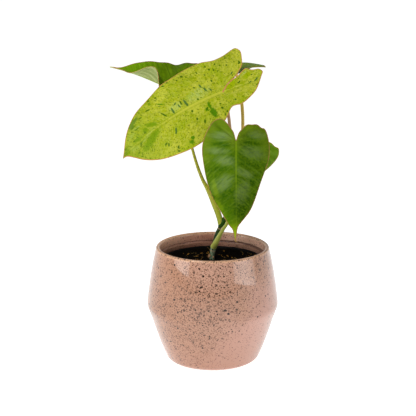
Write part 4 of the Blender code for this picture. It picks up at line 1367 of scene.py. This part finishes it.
# %% Marks of the youngest leaf
def young_marks(net, body, place, veins, u, v, edge):
    """Mottling, specks, dashes and blots of the youngest leaf, and painted shade beside its midrib.
    """
    patchy = net.noise(place, 60.0, 2.0)
    streaks = net.noise(net.stretch(veins, (1.0, 0.09, 1.0), (3.0, 9.0, 0.0)), 1.0, 4.0, 0.65)
    elsewhere = net.stretch(place, (1.0, 1.0, 1.0), (0.3, 0.1, 0.2))
    body = net.cover(
        body,
        (net.mask(mottle, Vector=place, Scale=430.0, Contrast=7.0), 0.6, (112, 134, 0)),
        (net.mask(mottle, Vector=elsewhere, Scale=300.0, Contrast=7.0), 0.3, (204, 202, 92)),
        (net.step(patchy, 0.5, 0.66), 0.6, (138, 158, 0)),
        (net.step(patchy, 0.48, 0.34), 0.5, (186, 188, 60)),
        (net.step(streaks, 0.52, 0.7), 0.6, (122, 146, 2)),
        (net.step(streaks, 0.48, 0.32), 0.5, (190, 194, 80)),
    )
    dashes = net.noise(net.stretch(veins, (1.1, 0.14, 1.0), (7.0, 3.0, 0.0)), 1.0, 2.0)
    ragged = net.minus(net.noise(net.stretch(veins, (1.1, 0.35, 1.0)), 1.0), 0.5)
    blot = net.mix(net.step(u, 66.0, 84.0), (66, 118, 0), (98, 134, 0))
    blot = net.mix(net.step(u, 8.0, -4.0), blot, (142, 162, 0))
    for kind, color, most, low, high, torn in (
        ("pale", (168, 186, 96), 0.76, 0.7, 1.6, 1.6), ("fresh", blot, 0.92, 0.65, 1.15, 2.6),
        ("blue", (60, 100, 42), 0.92, 0.72, 1.08, 1.2), ("dark", (52, 92, 4), 0.95, 0.8, 1.15, 0.9),
    ):
        depth = net.plus(net.attribute("mark_" + kind), net.times(ragged, torn))
        patch = net.step(depth, low, high)
        if kind == "pale":
            patch = net.times(patch, net.step(dashes, 0.38, 0.6, 0.06, 1.0))
        body = net.cover(body, (patch, most, color))
    tipward = net.times(net.step(u, 88.0, 112.0), net.step(streaks, 0.54, 0.66, 0.1, 0.6))
    crossing = net.stretch(veins, (1.0, 0.3, 1.0), (2.0, 5.0, 0.0))
    busy = net.step(edge, 26.0, 8.0, 0.12, 0.42)
    rib = net.math("ABSOLUTE", v)
    # Painted shade: a darker green line on each side of the midrib.
    painted_rib_shade = net.times(net.step(rib, 3.4, 1.6), net.step(rib, 0.9, 1.5))
    return net.cover(
        body,
        (net.step(dashes, 0.69, 0.75), 0.75, (84, 118, 34)),
        (net.step(u, 70.0, 110.0), 0.4, (128, 148, 0)),
        (tipward, 1.0, (92, 128, 24)),
        (net.mask(specks, Vector=crossing, Scale=0.55, Share=busy, Size=0.34), 0.95, (56, 92, 4)),
        (net.mask(specks, Vector=place, Scale=600.0, Share=0.75, Size=0.45), 0.85, (68, 96, 0)),
        (painted_rib_shade, 0.5, (124, 146, 10)),
    )


print("kinds of mark:", list(MARKS["leaf_a"]))


# %% Marks of two more leaves
def front_marks(net, body, place, veins, u, v, edge):
    """Painted sheen and painted shade in patches, fresher patches, yellow-green grains, and painted
    shade over one half and towards the tip of the leaf in front.
    """
    ragged = net.minus(net.noise(net.stretch(veins, (0.3, 0.1, 1.0)), 1.0, 4.0), 0.5)
    fine = net.mask(mottle, Vector=net.stretch(veins, (1.0, 0.28, 1.0)), Scale=1.0, Contrast=5.0)
    # Of these, the pale patches are painted sheen and the dark ones painted shade.
    for kind, color, most in (
        ("dark", (38, 78, 0), 0.8), ("pale", (106, 128, 74), 0.85), ("fresh", (122, 148, 10), 0.6)
    ):
        depth = net.plus(net.attribute("mark_" + kind), net.times(ragged, 1.7))
        patch = net.times(net.step(depth, 0.2, 1.7), net.step(fine, -2.4, 0.8))
        body = net.cover(body, (patch, most, color))
    streaks = net.noise(net.stretch(veins, (0.34, 0.08, 1.0), (5.0, 2.0, 0.0)), 1.0, 2.5, 0.5)
    body = net.cover(
        body,
        (net.step(streaks, 0.5, 0.72), 0.34, (112, 138, 50)),
        (net.step(streaks, 0.5, 0.3), 0.42, (34, 72, 0)),
        (net.times(net.step(edge, 14.0, 3.0), net.step(u, 45.0, 5.0)), 0.35, (118, 134, 30)),
    )
    # Painted shade: one half of the leaf, and its lower part towards the tip, are darkened.
    body = net.mix(net.step(v, -9.0, 9.0, 0.1, 0.6), body, (146, 156, 86), "MULTIPLY")
    body = net.mix(net.step(u, 35.0, 80.0, 0.0, 0.45), body, (160, 168, 90), "MULTIPLY")
    return net.cover(
        body,
        (net.times(net.step(u, 60.0, 95.0), net.step(v, 5.0, -14.0)), 0.3, (104, 146, 6)),
        (net.step(u, 92.0, 112.0), 0.85, (138, 166, 14)),
        (net.mask(mottle, Vector=place, Scale=420.0, Contrast=6.0), 0.25, (98, 124, 8)),
        (net.step(u, 116.0, 120.0), 1.0, (168, 108, 40)),
    )


def folded_marks(net, body, place, veins, u, v, edge):
    """The folded leaf is a brighter green towards its tip, and fresher along its veins."""
    streaks = net.noise(net.stretch(veins, (0.7, 0.05, 1.0)), 1.0, 4.0, 0.6)
    return net.cover(
        body,
        (net.step(u, 35.0, 72.0), 0.65, (122, 166, 14)),
        (net.step(streaks, 0.5, 0.68), 0.5, (120, 154, 24)),
        (net.step(streaks, 0.5, 0.34), 0.3, (48, 92, 0)),
    )


OWN_MARKS = {"leaf_a": young_marks, "leaf_b": front_marks, "leaf_c": folded_marks}
print("leaves with marks of their own:", ", ".join(OWN_MARKS))

# %% Leaves
TONES = ("dark", "light", "cloud", "lines", "rib", "margin", "under", "under_lines", "tip")
LEAF_TONES = {
    "leaf_a": (
        (153, 161, 10), (170, 172, 33), (149, 163, 9), (176, 179, 43), (180, 182, 58),
        (183, 129, 75), (140, 149, 46), (157, 164, 65), (112, 100, 34),
    ),
    "leaf_b": (
        (58, 92, 3), (78, 107, 12), (76, 108, 17), (82, 115, 13), (109, 134, 17),
        (139, 104, 60), (107, 126, 54), (125, 141, 68),
    ),
    "leaf_c": (
        (68, 98, 0), (98, 130, 0), (80, 110, 2), (112, 138, 13), (130, 147, 30),
        (175, 115, 59), (118, 134, 66), (172, 180, 120), (196, 196, 146),
    ),
    "leaf_d": (
        (84, 118, 6), (128, 154, 30), (100, 132, 24), (156, 176, 60), (91, 123, 31),
        (131, 90, 31), (123, 132, 55), (139, 146, 67),
    ),
    "leaf_e": (
        (79, 117, 2), (107, 141, 12), (122, 147, 46), (126, 155, 30), (137, 161, 30),
        (152, 129, 46), (131, 149, 54), (148, 159, 70),
    ),
}
LEAF_HABITS = {
    "leaf_a": {"gloss": 0.03, "rib_width": 1.35, "rib_fade": (45.0, 85.0)},
    "leaf_b": {"gloss": 0.02, "rib_width": 0.6, "rib_fade": (30.0, 80.0), "rib_share": 0.6},
    "leaf_c": {"gloss": 0.04},
    "leaf_d": {"gloss": 0.02},
}
for name, tones in LEAF_TONES.items():
    looks = dict(zip(TONES, tones), **LEAF_HABITS.get(name, {}))
    length = LEAVES[name]["length"] / MM
    finish = leaf_material(name.replace("_", " ") + " green", length, looks, OWN_MARKS.get(name))
    blade(name, finish)

# %% [markdown]
# ## Leaf stalks
#
# A stalk leaves its node in a short sheath, thins, and ends under the blade at the foot
# of the midrib. Each has its own colour, from pale green to brownish pink.

# %% Stalks
STALK_SEAT = 0.0022
STALK_APPROACH = 0.004
STALK_SIDES_AND_RINGS = (18, 110)
STALKS = {
    "petiole_a": {
        "leaf": "leaf_a",
        "route": (
            (0.0253, 0.0100, 0.1886), (0.0262, 0.0102, 0.1960), (0.0254, 0.0104, 0.2250),
            (0.0201, 0.0100, 0.2790), (0.0178, 0.0095, 0.2965), (0.0140, 0.0084, 0.3130),
        ),
        "radii": (0.0022, 0.0024, 0.0021, 0.0019, 0.0019, 0.0018, 0.0016),
        "colors": ((150, 160, 76), (182, 142, 100), (192, 144, 106), (206, 166, 124)),
    },
    "petiole_b": {
        "leaf": "leaf_b",
        "route": (
            (0.0010, 0.0086, 0.1342), (0.0036, 0.0046, 0.1400), (0.0080, 0.0000, 0.1500),
            (0.0124, -0.0055, 0.1596), (0.0171, -0.0110, 0.1690), (0.0235, -0.0240, 0.2060),
            (0.0262, -0.0350, 0.2460), (0.0266, -0.0385, 0.2660),
        ),
        "radii": (0.0037, 0.0034, 0.0026, 0.0021, 0.0019, 0.0017, 0.0016, 0.0016, 0.0015),
        "colors": ((160, 166, 72), (134, 146, 30), (128, 142, 28), (188, 194, 122)),
    },
    "petiole_c": {
        "leaf": "leaf_c",
        "route": (
            (0.0100, 0.0104, 0.1606), (0.0083, 0.0115, 0.1690), (0.0017, 0.0135, 0.1860),
            (-0.0065, 0.0165, 0.2044), (-0.0125, 0.0205, 0.2154), (-0.0240, 0.0330, 0.2482),
            (-0.0330, 0.0480, 0.2850),
        ),
        "radii": (0.0034, 0.0036, 0.0033, 0.0026, 0.0021, 0.0017, 0.0014, 0.0013),
        "colors": ((140, 150, 20), (162, 162, 36), (172, 168, 44), (196, 178, 96)),
    },
    "petiole_d": {
        "leaf": "leaf_d",
        "route": (
            (0.0205, 0.0104, 0.1790), (0.0260, 0.0150, 0.1850), (0.0301, 0.0172, 0.1980),
            (0.0333, 0.0178, 0.2280), (0.0355, 0.0205, 0.2768), (0.0344, 0.0265, 0.3032),
            (0.0312, 0.0345, 0.3230),
        ),
        "radii": (0.0026, 0.0023, 0.0022, 0.0021, 0.0020, 0.0020, 0.0018, 0.0015),
        "colors": ((176, 166, 66), (208, 178, 78), (216, 184, 98), (228, 184, 140)),
    },
    "petiole_e": {
        "leaf": "leaf_e",
        "route": (
            (0.0182, 0.0098, 0.1748), (0.0242, 0.0068, 0.1778), (0.0325, 0.0040, 0.1890),
            (0.0410, 0.0040, 0.2100), (0.0480, 0.0035, 0.2350), (0.0510, 0.0005, 0.2520),
        ),
        "radii": (0.0024, 0.0021, 0.0018, 0.0015, 0.0014, 0.0013, 0.0013),
        "colors": ((140, 150, 60), (134, 146, 54), (140, 146, 60), (160, 160, 90)),
    },
}
for stalk_name, stalk in STALKS.items():
    leaf = LEAVES[stalk["leaf"]]
    face = leaf_frame(leaf)[2]
    seat = leaf_surface(leaf, np.array([STALK_SEAT / MM]), np.array([0.0]))[0]
    end = seat - face * (RIB_THICKNESS + GAP)
    route = [*stalk["route"], tuple(end - face * STALK_APPROACH), tuple(end)]
    radii = (*stalk["radii"], stalk["radii"][-1])
    shown_name = stalk_name.replace("petiole", "stalk")
    skin = skin_material(shown_name + " skin", *stalk["colors"])
    stands_for(swept(shown_name, route, radii, *STALK_SIDES_AND_RINGS, skin), stalk_name)

# %% [markdown]
